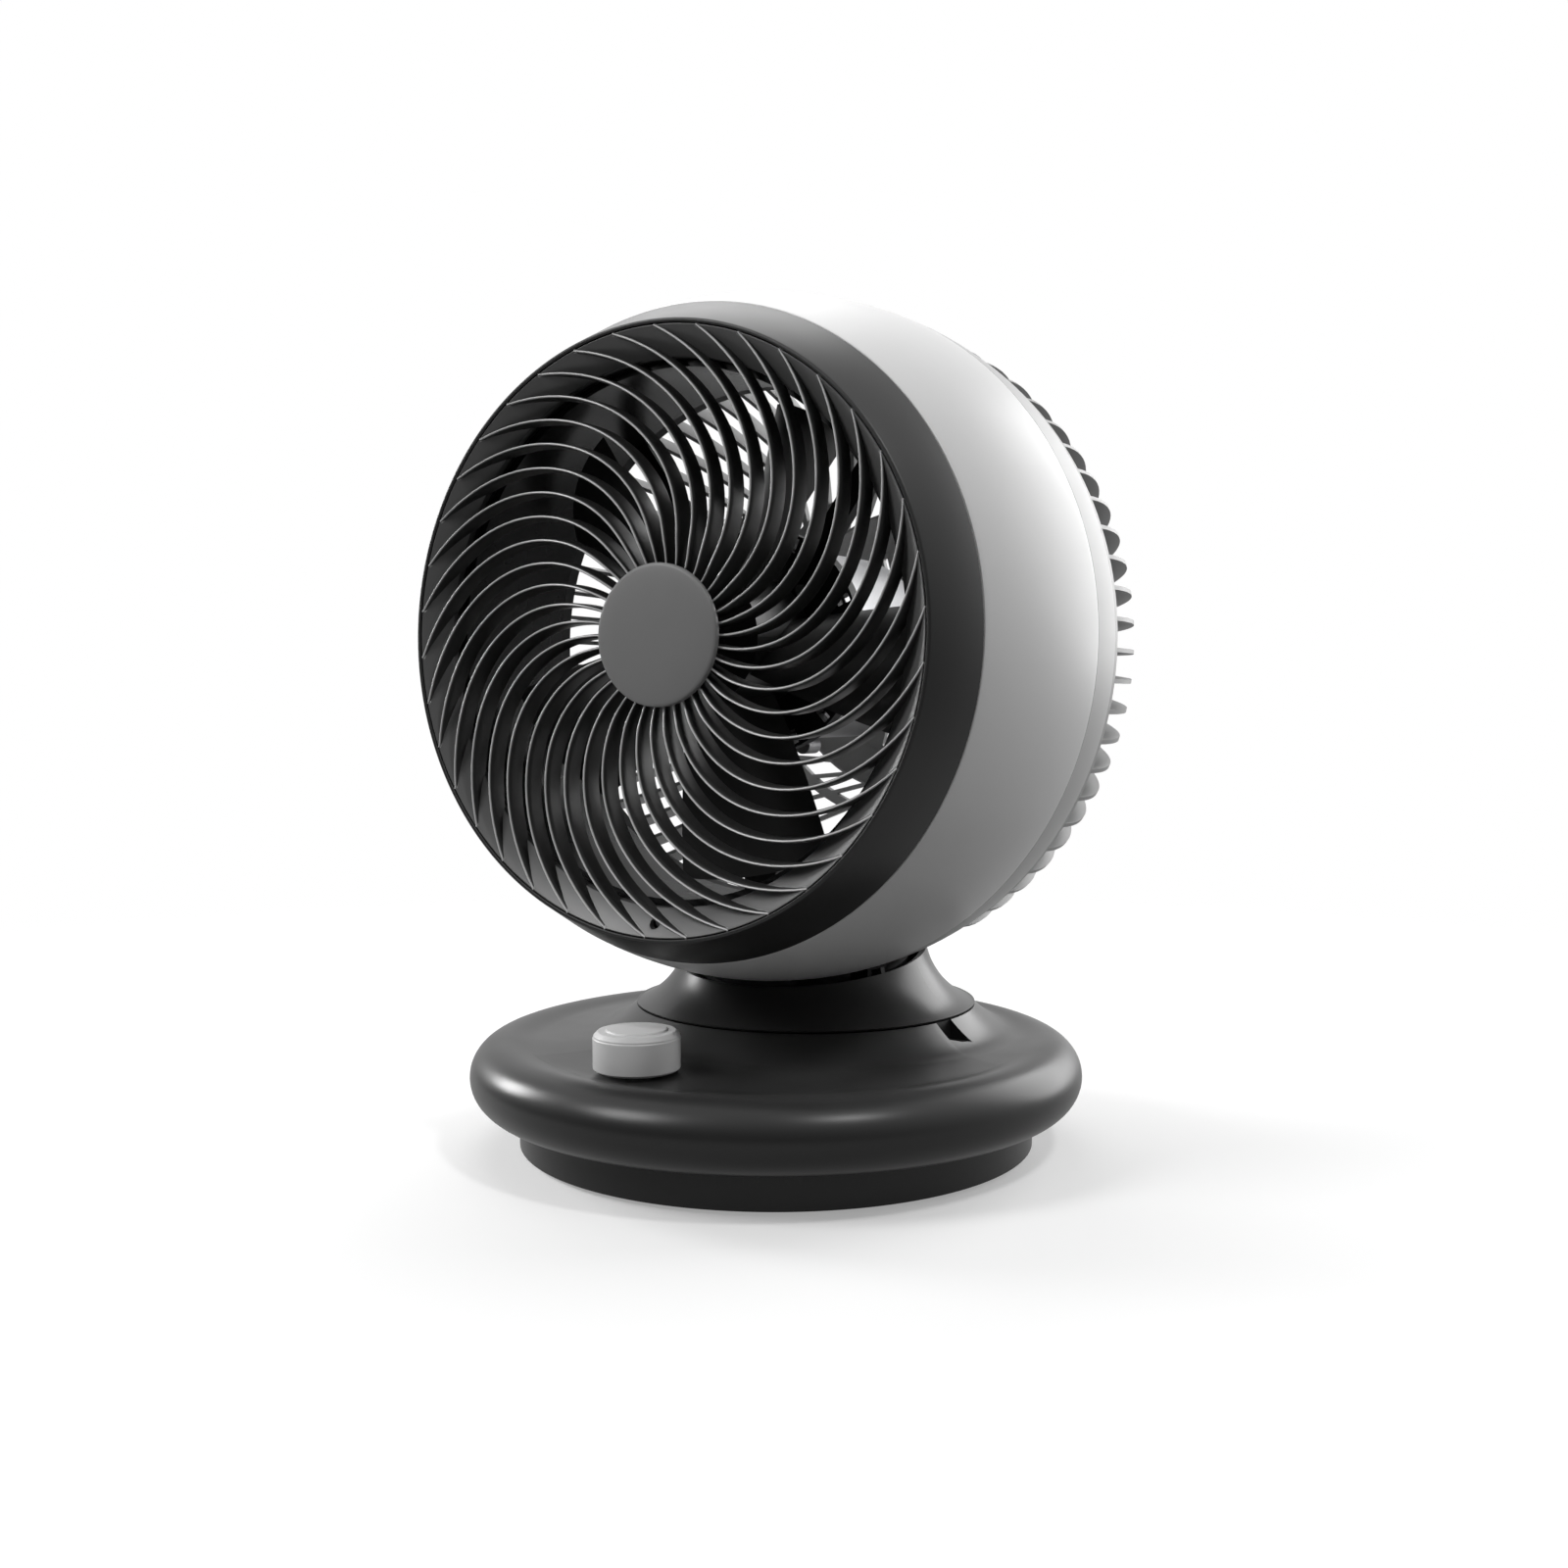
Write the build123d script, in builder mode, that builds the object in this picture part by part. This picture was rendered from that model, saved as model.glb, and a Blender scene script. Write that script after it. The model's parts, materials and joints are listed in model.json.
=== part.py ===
"""Table-top air circulator fan: a ball-shaped head that tilts in a neck cup and swings on a round base.

The base stands on z = 0 with its round foot centred on the origin, and the fan blows towards -Y.
All sizes are in millimetres.
"""
from math import asin, cos, degrees, radians, sin, sqrt
import os

from build123d import *

os.makedirs("parts", exist_ok=True)

# ---------------------------------------------------------------- driving dimensions
# General fits
SLIDE_GAP = 0.3          # between pieces that move past each other
SEAT_GAP = 0.2           # round a piece that drops into a seat
BEARING_FIT = 0.03       # radial play of a shaft in its bore
SCREW_PLAY = 0.1         # radial play of a screw in its hole

# Foot and plinth
FOOT_HEIGHT = 2.0
FOOT_RADIUS = 9.0
FOOT_COUNT = 6
FOOT_RING = 86.0
FOOT_POCKET = 0.6
PLINTH_RADIUS = 107.0
PLINTH_HEIGHT = 15.0
PLINTH_WALL = 2.6
PLINTH_FLOOR = 2.5
PLINTH_LIP_HEIGHT = 3.0

# Rolled rim of the base
RIM_RADIUS = 113.0       # centre line of the roll
RIM_TUBE = 14.0          # half the thickness of the roll
SHELL_WALL = 3.0
DISH_DEPTH = 2.0
DISH_RADIUS = 100.0
RIM_SHOULDER = 105.5     # where the roll turns into the dish

# Neck and collar, round the swing axis
NECK_AXIS_Y = 25.0
SEAM_RADIUS = 73.0
COLLAR_HEIGHT = 11.2
COLLAR_FOOT_RADIUS = 93.0
COLLAR_WAIST_RADIUS = 80.0
COLLAR_WAIST_HEIGHT = 3.9
WELL_RADIUS = 69.5
WELL_WALL = 2.8
NECK_RADIUS = 52.0
NECK_FLARE_RADIUS = 57.6
NECK_FLARE_HEIGHT = 12.0
NECK_STRAIGHT_HEIGHT = 26.0
NECK_RIM_HEIGHT = 14.0   # spare height that the ball cuts away
NECK_WALL = 2.8
WEB_COUNT = 4
WEB_START = -23.0        # degrees round the neck
WEB_RANGE = 240.0
WEB_REACH = 12.0
WEB_THICKNESS = 2.0
WEB_GAP = 1.0
NECK_SEAM_GAP = 0.6
NECK_FLOOR_HEIGHT = 3.0
NECK_FLOOR = 2.6

# Control panel let into the front of the base
PANEL_THICKNESS = 1.6
PANEL_START = -31.0      # degrees round the neck from straight ahead
PANEL_END = 76.0
PANEL_OUTER_RADIUS = 104.0
NOTCH_WIDTH = 8.0        # degrees
NOTCH_HEIGHT = 8.0

# Speed knob and switch
KNOB_RING = 86.0
KNOB_SIDE = 10.0         # how far left of the middle the knob stands
KNOB_RADIUS = 16.6
KNOB_HEIGHT = 15.5
KNOB_CHAMFER = 1.8
KNOB_CAP_RADIUS = 11.5
KNOB_CAP_HEIGHT = 0.8
KNOB_LIFT = 1.0
KNOB_WALL = 2.2
KNOB_SOCKET_RADIUS = 6.0
SPINDLE_RADIUS = 3.0
BUSHING_RADIUS = 4.5
BUSHING_HEIGHT = 4.0
SWITCH_RADIUS = 9.5
SWITCH_HEIGHT = 11.0
NUT_WIDTH = 13.0
NUT_THICKNESS = 2.2
NUT_PLAY = 0.1

# Base screws
BASE_SCREW_COUNT = 6
BASE_SCREW_RING = 97.0
BASE_SCREW_RADIUS = 1.8
BASE_SCREW_HEAD_RADIUS = 3.4
BASE_SCREW_HEAD = 2.4
BASE_SCREW_LENGTH = 26.0
BOSS_RADIUS = 4.8
BOSS_TOP_RADIUS = 4.2

# Ballast, board and inlet
BALLAST_RADIUS = 84.0
BALLAST_THICKNESS = 5.0
BOARD_LENGTH = 46.0
BOARD_WIDTH = 26.0
BOARD_THICKNESS = 1.6
BOARD_POST_HEIGHT = 4.0
BOARD_POST_RADIUS = 3.0
BOARD_RING = 71.0
BOARD_POST_INSET = 4.0
COMPONENT_COUNT = 3
COMPONENT_PITCH = 15.3
COMPONENT_LENGTH = 7.6
COMPONENT_WIDTH = 13.0
INLET_WIDTH = 20.0
INLET_HEIGHT = 9.0
INLET_DEPTH = 14.0
INLET_LIFT = 4.0
INLET_SOCKET_WIDTH = 14.0
INLET_SOCKET_HEIGHT = 5.6
INLET_SOCKET_DEPTH = 10.0
INLET_SOCKET_CORNER = 2.5
INLET_PIN_RADIUS = 1.1
INLET_PIN_SETBACK = 3.3

# Swing drive
GEAR_MODULE = 1.0
GEAR_TEETH = 90
PINION_TEETH = 18
TOOTH_ROOT = 1.25        # depth under the pitch circle
TOOTH_TIP = 0.9          # height over the pitch circle
TOOTH_BASE_WIDTH = 1.7
TOOTH_TIP_WIDTH = 0.6
SHAFT_SEAT = 5.0
RETAINER_SCREW_HEAD = 1.4
GEAR_THICKNESS = 7.0
GEAR_BORE = 37.0
PINION_THICKNESS = 5.0
PINION_SHAFT_RADIUS = 2.5
SWING_MOTOR_RADIUS = 24.0
SWING_MOTOR_GAP = 2.0
SWING_EAR_RADIUS = 4.5
SWING_EAR_RING = 29.0
SWING_EAR_THICKNESS = 2.0

# Turntable
RACE_THICKNESS = 1.2
RACE_INNER_RADIUS = 56.0
RACE_OUTER_RADIUS = 65.0
TURNTABLE_RADIUS = 67.0
TURNTABLE_THICKNESS = 3.0
HUB_RADIUS = 53.5
HUB_WALL = 4.5
HUB_PLAY = 0.1
RETAINER_RADIUS = 60.0
RETAINER_THICKNESS = 3.0
UPSTAND_OUTER_RADIUS = 56.0
UPSTAND_INNER_RADIUS = 50.5
NECK_SCREW_RING = 53.2
NECK_SCREW_COUNT = 4
NECK_SCREW_RADIUS = 1.4
NECK_SCREW_HEAD_RADIUS = 2.6
NECK_SCREW_HEAD = 1.8
NECK_SCREW_LENGTH = 9.0

# Head, a ball whose own axis points forward
HEAD_RADIUS = 140.0
HEAD_SETBACK = 5.0       # head centre behind the base centre
HEAD_LIFT = 68.0         # lowest point of the ball above the table
CUP_CLEARANCE = 3.5
SHELL_THICKNESS = 2.5
BELT_FRONT_DEPTH = 75.0
BELT_FRONT_RADIUS = 124.5
BELT_MIDDLE_DEPTH = 40.0
BELT_MIDDLE_RADIUS = 135.7
BELT_REAR_DEPTH = 5.0
CREST_DEPTH = 96.5
CREST_RADIUS = 114.0
CREST_WIDTH = 1.6
CREST_ROUND = 0.7
BEZEL_HEAD = 8.0         # solid part behind the crest
BEZEL_WALL = 2.4
BEZEL_LIP_LENGTH = 6.0
BEZEL_LIP_WALL = 2.0
OPENING_DEPTH = 88.8
OPENING_RADIUS = 101.5
FLANGE_DEPTH = 86.0      # front face of the bezel's inner flange
FLANGE_THICKNESS = 2.4
RIM_WALL = 2.2
RING_REAR_DEPTH = -16.0
REAR_DEPTH = 122.0       # flat back of the ball behind its centre

# Front grille
VANE_COUNT = 38
VANE_THICKNESS = 1.8
VANE_SWEEP = 54.0        # degrees from root to tip
VANE_SWEEP_POWER = 1.7
VANE_TIP_ANGLE = 176.0
VANE_ROOT_RADIUS = 15.0
VANE_DEPTH = 9.6
VANE_STEPS = 6
VANE_RIM_LIFT = 0.6
GRILLE_HUB_RADIUS = 21.0
GRILLE_HUB_THICKNESS = 3.0
CAP_RADIUS = 26.7
CAP_SEAT_DEPTH = 89.0
CAP_THICKNESS = 2.8
CAP_DOME = 1.2
VANE_SHOULDER_RADIUS = 36.0
VANE_SHOULDER_DEPTH = 91.4
GRILLE_SCREW_RADIUS = 1.5
GRILLE_SCREW_HEAD_RADIUS = 2.1
GRILLE_SCREW_HEAD = 1.6
GRILLE_SCREW_LENGTH = 7.0
GRILLE_SCREW_RING = 106.8
GRILLE_SCREW_BOSS = 3.6

# Duct and motor mount
DUCT_FRONT_RADIUS = 99.0
DUCT_REAR_RADIUS = 103.0
DUCT_WALL = 2.0
DUCT_FLANGE = 2.4
DUCT_FLANGE_RADIUS = 112.0
MOUNT_DEPTH = 12.0
MOUNT_THICKNESS = 6.0
MOUNT_RING_RADIUS = 112.0
MOUNT_ARM_COUNT = 5
MOUNT_ARM_WIDTH = 9.0
CABLE_ARM_WIDTH = 15.0
MOUNT_PLATE_RADIUS = 46.0
MOUNT_SLOT_COUNT = 16
MOUNT_SLOT_WIDTH = 3.4
MOUNT_SLOT_LENGTH = 5.8
MOUNT_SCREW_START = 45.0

# Motor
MOTOR_RADIUS = 40.0
MOTOR_WALL = 2.0
MOTOR_FRONT_DEPTH = 12.0
MOTOR_SPLIT_DEPTH = -22.0
MOTOR_REAR_DEPTH = -58.0
STATOR_OUTER_RADIUS = 37.8
STATOR_INNER_RADIUS = 20.0
STATOR_LENGTH = 26.0
STATOR_CENTRE_DEPTH = -23.0
WINDING_LENGTH = 8.0
WINDING_OUTER_RADIUS = 34.0
WINDING_INNER_RADIUS = 23.0
ROTOR_RADIUS = 19.5
ROTOR_LENGTH = 28.0
SHAFT_RADIUS = 4.0
SHAFT_FRONT_DEPTH = 70.0
SHAFT_REAR_DEPTH = -54.0
BEARING_RADIUS = 10.0
BEARING_WIDTH = 6.0
BEARING_CUP_WALL = 2.5
MOTOR_SCREW_COUNT = 4
MOTOR_SCREW_RING = 43.2
MOTOR_SCREW_RADIUS = 1.4
MOTOR_SCREW_HEAD_RADIUS = 2.5
MOTOR_SCREW_HEAD = 1.8
MOTOR_LUG_RADIUS = 3.6
MOTOR_LUG_LENGTH = 5.0

# Impeller
BLADE_COUNT = 5
IMPELLER_RADIUS = 94.0
IMPELLER_HUB_RADIUS = 26.0
IMPELLER_HUB_FRONT = 62.0
IMPELLER_HUB_REAR = 22.0
IMPELLER_HUB_WALL = 3.0
BLADE_MIDDLE_DEPTH = 46.0
BLADE_THICKNESS = 2.4
BLADE_CAMBER = 0.06      # share of the chord
BLADE_ROOT_CHORD = 36.0
BLADE_MID_CHORD = 50.0
BLADE_TIP_CHORD = 60.0
BLADE_ROOT_PITCH = 52.0
BLADE_MID_PITCH = 38.0
BLADE_TIP_PITCH = 27.0
BLADE_FIRST_ANGLE = -8.0
IMPELLER_NUT_RADIUS = 11.0
IMPELLER_NUT_HEIGHT = 10.0
IMPELLER_NUT_CHAMFER = 2.0

# Rear of the head
FRAME_WIDTH = 4.5
FRAME_WALL = 3.4
FIN_COUNT = 72
FIN_THICKNESS = 1.7
FIN_PHASE = -1.9
FIN_PROUD = 5.0
FIN_DEPTH = 5.5
FIN_END_RADIUS = 100.0
MIDDLE_RING_WIDTH = 3.6
BAR_COUNT = 36
BAR_WIDTH = 2.2
BAR_SLANT = 34.0
BAR_LENGTH = 60.0
BAND_WALL = 3.2
HOOP_RADIUS = 80.0
HOOP_WIDTH = 4.0
REAR_CAP_RADIUS = 56.0
REAR_CAP_RECESS = 1.4
REAR_VENT_COUNT = 24
REAR_VENT_WIDTH = 2.4
REAR_VENT_INNER = 28.0
REAR_VENT_OUTER = 50.0
FLUSH_HALF_WIDTH = 66.5

# Tilt slide under the head
TILT_DOWN = 5.0
TILT_UP = 35.0
RAIL_HALF_WIDTH = 20.0
RAIL_THICKNESS = 1.8
STEM_HALF_WIDTH = 3.5
STEM_HALF_ANGLE = 2.05
STEM_GAP = 0.8
CLAMP_HALF_WIDTH = 12.0
CLAMP_HALF_ANGLE = 5.0
CLAMP_THICKNESS = 3.4
POST_FOOT_HALF_WIDTH = 9.0
POST_FOOT_HALF_ANGLE = 4.2
POST_FOOT_THICKNESS = 3.0
TILT_SCREW_RADIUS = 1.6
TILT_SCREW_HEAD_RADIUS = 3.4
TILT_SCREW_HEAD = 2.2
TILT_SCREW_LENGTH = 14.0
SADDLE_RADIUS = 45.0
PAD_HALF_WIDTH = 4.0
PAD_OFFSET = 34.0
PAD_HALF_ANGLE = 6.0
PAD_GAP = 0.6
POST_FOOT_PLAY = 0.1     # degrees

# ---------------------------------------------------------------- worked-out levels and places
PLINTH_BOTTOM = FOOT_HEIGHT
PLINTH_TOP = PLINTH_BOTTOM + PLINTH_HEIGHT
FLOOR_TOP = PLINTH_BOTTOM + PLINTH_FLOOR
RIM_CENTRE_Z = PLINTH_TOP + RIM_TUBE
DISH_Z = RIM_CENTRE_Z + RIM_TUBE - DISH_DEPTH
DISH_INNER_Z = DISH_Z - SHELL_WALL
SEAM_Z = DISH_Z + COLLAR_HEIGHT
NECK_BOTTOM = SEAM_Z + NECK_SEAM_GAP
NECK_FLOOR_Z = NECK_BOTTOM + NECK_FLOOR_HEIGHT
RACE_TOP = DISH_Z + RACE_THICKNESS
TURNTABLE_BOTTOM = RACE_TOP + SLIDE_GAP
TURNTABLE_TOP = TURNTABLE_BOTTOM + TURNTABLE_THICKNESS
RETAINER_TOP = DISH_INNER_Z - SLIDE_GAP
RETAINER_BOTTOM = RETAINER_TOP - RETAINER_THICKNESS
GEAR_BOTTOM = RETAINER_BOTTOM - GEAR_THICKNESS
GEAR_PITCH_RADIUS = GEAR_MODULE * GEAR_TEETH / 2
PINION_PITCH_RADIUS = GEAR_MODULE * PINION_TEETH / 2
PINION_Y = NECK_AXIS_Y - GEAR_PITCH_RADIUS - PINION_PITCH_RADIUS
PINION_BOTTOM = GEAR_BOTTOM
BALLAST_TOP = FLOOR_TOP + BALLAST_THICKNESS
SWING_MOTOR_TOP = PINION_BOTTOM - SWING_MOTOR_GAP
KNOB_SPOT = (-KNOB_SIDE, -KNOB_RING)
KNOB_BOTTOM = DISH_Z + KNOB_LIFT
KNOB_TOP = KNOB_BOTTOM + KNOB_HEIGHT

BOARD_BOTTOM = BALLAST_TOP + BOARD_POST_HEIGHT
BOARD_POST_SPAN_X = BOARD_LENGTH - 2 * BOARD_POST_INSET
BOARD_POST_SPAN_Y = BOARD_WIDTH - 2 * BOARD_POST_INSET
PLINTH_INNER_RADIUS = PLINTH_RADIUS - PLINTH_WALL
LIP_RADIUS = PLINTH_INNER_RADIUS - SEAT_GAP
BASE_SCREW_START = -90 + 180 / BASE_SCREW_COUNT
NECK_SCREW_START = 180 / NECK_SCREW_COUNT
RETAINER_SCREW_RING = HUB_RADIUS - HUB_WALL / 2
NECK_FLOOR_TOP = NECK_FLOOR_Z + NECK_FLOOR
NECK_TOP = NECK_BOTTOM + NECK_STRAIGHT_HEIGHT + NECK_RIM_HEIGHT
INLET_PLANE = Plane(origin=(0, PLINTH_RADIUS, PLINTH_BOTTOM + INLET_LIFT + INLET_HEIGHT / 2),
                    x_dir=(1, 0, 0), z_dir=(0, -1, 0))

BELT_REAR_RADIUS = sqrt(HEAD_RADIUS ** 2 - BELT_REAR_DEPTH ** 2)
CREST_INNER_RADIUS = CREST_RADIUS - CREST_WIDTH
FLANGE_REAR = FLANGE_DEPTH - FLANGE_THICKNESS
BEZEL_SLOPE = (BELT_FRONT_RADIUS - CREST_RADIUS) / (CREST_DEPTH - BELT_FRONT_DEPTH)
BEZEL_HOLLOW_DEPTH = CREST_DEPTH - BEZEL_HEAD
BEZEL_HOLLOW_RADIUS = BELT_FRONT_RADIUS - BEZEL_WALL - BEZEL_SLOPE * (BEZEL_HOLLOW_DEPTH - BELT_FRONT_DEPTH)
LIP_OUTER_RADIUS = BELT_FRONT_RADIUS - SHELL_THICKNESS - SEAT_GAP
VANE_REAR_DEPTH = VANE_SHOULDER_DEPTH - VANE_DEPTH
VANE_TIP_RADIUS = CREST_INNER_RADIUS + VANE_THICKNESS
MOUNT_FRONT = MOUNT_DEPTH + MOUNT_THICKNESS
MOUNT_ARM_REACH = (MOUNT_PLATE_RADIUS + DUCT_REAR_RADIUS) / 2
MOUNT_SCREW_RING = (WINDING_INNER_RADIUS + WINDING_OUTER_RADIUS) / 2
DUCT_SCREW_RING = (DUCT_REAR_RADIUS + DUCT_WALL + MOUNT_RING_RADIUS) / 2
DUCT_SCREW_START = -90 + 180 / MOUNT_ARM_COUNT
FRONT_BEARING_DEPTH = MOTOR_FRONT_DEPTH - MOTOR_WALL - BEARING_WIDTH
REAR_BEARING_DEPTH = MOTOR_REAR_DEPTH + MOTOR_WALL
FRAME_REAR_DEPTH = RING_REAR_DEPTH - FRAME_WIDTH
FIN_END_DEPTH = -sqrt(HEAD_RADIUS ** 2 - FIN_END_RADIUS ** 2)
FIN_END_ANGLE = degrees(asin(-FIN_END_DEPTH / HEAD_RADIUS))
FIN_PITCH = 360 / FIN_COUNT
FIN_SPAN = HEAD_RADIUS - FIN_END_RADIUS + 2 * FIN_PROUD
FIN_MIDDLE_RADIUS = FIN_END_RADIUS + FIN_SPAN / 2 - FIN_PROUD
FRAME_ANGLE = degrees(asin(-(RING_REAR_DEPTH + FRAME_REAR_DEPTH) / (2 * HEAD_RADIUS)))
REAR_FACE_INNER = REAR_DEPTH - BAND_WALL
HUB_EDGE_RADIUS = sqrt(HEAD_RADIUS ** 2 - REAR_DEPTH ** 2)

BASE_AXIS = Axis.Z
NECK_AXIS = Axis((0, NECK_AXIS_Y, 0), (0, 0, 1))
HEAD_CENTRE = Vector(0, HEAD_SETBACK, HEAD_LIFT + HEAD_RADIUS)
HEAD_AXIS = Axis(HEAD_CENTRE, (0, -1, 0))
TILT_AXIS = Axis(HEAD_CENTRE, (1, 0, 0))
BASE_SECTION = Plane.XZ
NECK_SECTION = Plane(origin=(0, NECK_AXIS_Y, 0), x_dir=(1, 0, 0), z_dir=(0, -1, 0))
HEAD_SECTION = Plane(origin=HEAD_CENTRE, x_dir=(1, 0, 0), z_dir=(0, 0, -1))
HEAD_FACE = Plane(origin=HEAD_CENTRE, x_dir=(1, 0, 0), z_dir=(0, -1, 0))

CUP_RADIUS = HEAD_RADIUS + CUP_CLEARANCE
REST_ANGLE = degrees(asin((NECK_AXIS_Y - HEAD_SETBACK) / HEAD_RADIUS))
SLOT_START = REST_ANGLE - TILT_DOWN - STEM_HALF_ANGLE - STEM_GAP
SLOT_END = REST_ANGLE + TILT_UP + STEM_HALF_ANGLE + STEM_GAP
SLOT_HALF_WIDTH = STEM_HALF_WIDTH + STEM_GAP
RAIL_START = REST_ANGLE - TILT_DOWN - CLAMP_HALF_ANGLE - STEM_GAP
RAIL_END = REST_ANGLE + TILT_UP + CLAMP_HALF_ANGLE + STEM_GAP
RAIL_OUTER = HEAD_RADIUS - FRAME_WALL - SEAT_GAP
CLAMP_OUTER = RAIL_OUTER - RAIL_THICKNESS - SLIDE_GAP


def neck_plane(z):
    """A level plane at height z, centred on the swing axis."""
    return Plane(origin=(0, NECK_AXIS_Y, z), x_dir=(1, 0, 0), z_dir=(0, 0, 1))


def face_plane(depth):
    """A plane across the head, `depth` in front of its centre, seen from the front."""
    return HEAD_FACE.offset(depth)


def tilt_plane(angle):
    """The plane through the tilt axis, `angle` degrees behind straight down; y runs outwards."""
    direction = (0, cos(radians(angle)), sin(radians(angle)))
    return Plane(origin=HEAD_CENTRE, x_dir=(1, 0, 0), z_dir=direction)


def on_ball(angle, radius=HEAD_RADIUS):
    """Radius and depth of the point of the ball `angle` degrees behind its widest circle."""
    return radius * cos(radians(angle)), -radius * sin(radians(angle))


def behind(depth, radius=HEAD_RADIUS):
    """Degrees behind the widest circle at which the ball reaches this depth."""
    return degrees(asin(-depth / radius))


def ring_solid(plane, inner, outer, height):
    """A plain ring of this height standing on the plane."""
    with BuildPart(mode=Mode.PRIVATE) as ring:
        with BuildSketch(plane):
            Circle(outer)
            Circle(inner, mode=Mode.SUBTRACT)
        extrude(amount=height)
    return ring.part


def flat_ring(radius, width):
    """A flat ring of this width, centred on this radius."""
    with BuildSketch(mode=Mode.PRIVATE) as ring:
        Circle(radius + width / 2)
        Circle(radius - width / 2, mode=Mode.SUBTRACT)
    return ring.sketch


def radial_plane(angle, radius):
    """The plane square to the line that leaves the head centre `angle` degrees behind straight down."""
    direction = Vector(0, sin(radians(angle)), -cos(radians(angle)))
    return Plane(origin=HEAD_CENTRE + direction * radius, x_dir=(1, 0, 0), z_dir=direction)


def arc_block(start, end, half_width, inner, outer, side=0):
    """A block between two spheres about the head centre, and between two tilt angles under the head."""
    with BuildPart(mode=Mode.PRIVATE) as block:
        with BuildSketch(tilt_plane(start)):
            with Locations((side, outer / 2)):
                Rectangle(2 * half_width, outer)
            Circle(outer, mode=Mode.INTERSECT)
            Circle(inner, mode=Mode.SUBTRACT)
        revolve(axis=TILT_AXIS, revolution_arc=end - start)
    return block.part


def cup_ball(radius):
    """The ball about the head centre, used to hollow what lies round the head."""
    with BuildPart(mode=Mode.PRIVATE) as ball:
        with BuildSketch(HEAD_SECTION):
            with BuildLine():
                ThreePointArc((0, radius), (radius, 0), (0, -radius))
                Line((0, -radius), (0, radius))
            make_face()
        revolve(axis=HEAD_AXIS)
    return ball.part


def finish(piece, name):
    """Names one finished piece and writes it."""
    piece.label = name
    export_step(piece, f"parts/{name}.step")
    print(name, len(piece.solids()), round(piece.volume))


# ---------------------------------------------------------------- base shell surfaces
def base_body(inset):
    """Solid under the base's outer surface, moved inwards by `inset`."""
    tube = RIM_TUBE - inset
    top = DISH_Z - inset
    with BuildPart(mode=Mode.PRIVATE) as body:
        with BuildSketch(BASE_SECTION):
            with BuildLine():
                Line((0, RIM_CENTRE_Z - tube), (RIM_RADIUS, RIM_CENTRE_Z - tube))
                ThreePointArc((RIM_RADIUS, RIM_CENTRE_Z - tube), (RIM_RADIUS + tube, RIM_CENTRE_Z),
                              (RIM_RADIUS, RIM_CENTRE_Z + tube))
                shoulder = (RIM_SHOULDER, top + DISH_DEPTH / 2)
                TangentArc((RIM_RADIUS, top + DISH_DEPTH), shoulder, tangent=(-1, 0))
                TangentArc((DISH_RADIUS, top), shoulder, tangent=(1, 0))
                Line((DISH_RADIUS, top), (0, top))
                Line((0, top), (0, RIM_CENTRE_Z - tube))
            make_face()
        revolve(axis=BASE_AXIS)
        with BuildSketch(NECK_SECTION):
            with BuildLine():
                foot = (COLLAR_FOOT_RADIUS - inset, top)
                waist = (COLLAR_WAIST_RADIUS - inset / 2, top + COLLAR_WAIST_HEIGHT)
                seam = (SEAM_RADIUS - inset, top + COLLAR_HEIGHT)
                ThreePointArc(foot, waist, seam)
                Line(seam, (0, top + COLLAR_HEIGHT))
                Line((0, top + COLLAR_HEIGHT), (0, top - inset - SHELL_WALL))
                Line((0, top - inset - SHELL_WALL), (foot[0], top - inset - SHELL_WALL))
                Line((foot[0], top - inset - SHELL_WALL), foot)
            make_face()
        revolve(axis=NECK_AXIS)
    return body.part


def sector_face(start, end, reach):
    """A pie slice between two bearings, in degrees from straight ahead towards +X."""
    def edge(bearing):
        return reach * sin(radians(bearing)), -reach * cos(radians(bearing))

    with BuildSketch(mode=Mode.PRIVATE) as slice_face:
        with BuildLine():
            Line((0, 0), edge(start))
            ThreePointArc(edge(start), edge((start + end) / 2), edge(end))
            Line(edge(end), (0, 0))
        make_face()
    return slice_face.sketch


def panel_prism(clearance):
    """Upright prism over the control panel's outline, grown by `clearance`."""
    side = degrees(clearance / SEAM_RADIUS)
    with BuildPart(mode=Mode.PRIVATE) as prism:
        with BuildSketch(neck_plane(DISH_INNER_Z)):
            add(sector_face(PANEL_START - side, PANEL_END + side, 2 * RIM_RADIUS))
        extrude(amount=COLLAR_HEIGHT + 2 * SHELL_WALL)
        with BuildSketch(Plane.XY.offset(DISH_INNER_Z)):
            Circle(PANEL_OUTER_RADIUS + clearance)
        extrude(amount=COLLAR_HEIGHT + 2 * SHELL_WALL, mode=Mode.INTERSECT)
    return prism.part


def panel_layer(clearance):
    """The skin of the base over the panel's outline: the panel itself, or its seat when grown."""
    with BuildPart(mode=Mode.PRIVATE) as layer:
        add(skin_outer)
        add(panel_floor, mode=Mode.SUBTRACT)
        add(panel_prism(clearance), mode=Mode.INTERSECT)
        with BuildSketch(neck_plane(DISH_INNER_Z)):
            Circle(SEAM_RADIUS - PANEL_THICKNESS - clearance)
        extrude(amount=COLLAR_HEIGHT + 2 * SHELL_WALL, mode=Mode.SUBTRACT)
    return layer.part


skin_outer = base_body(0)
panel_floor = base_body(PANEL_THICKNESS)
shell_inner = base_body(SHELL_WALL)

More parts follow.
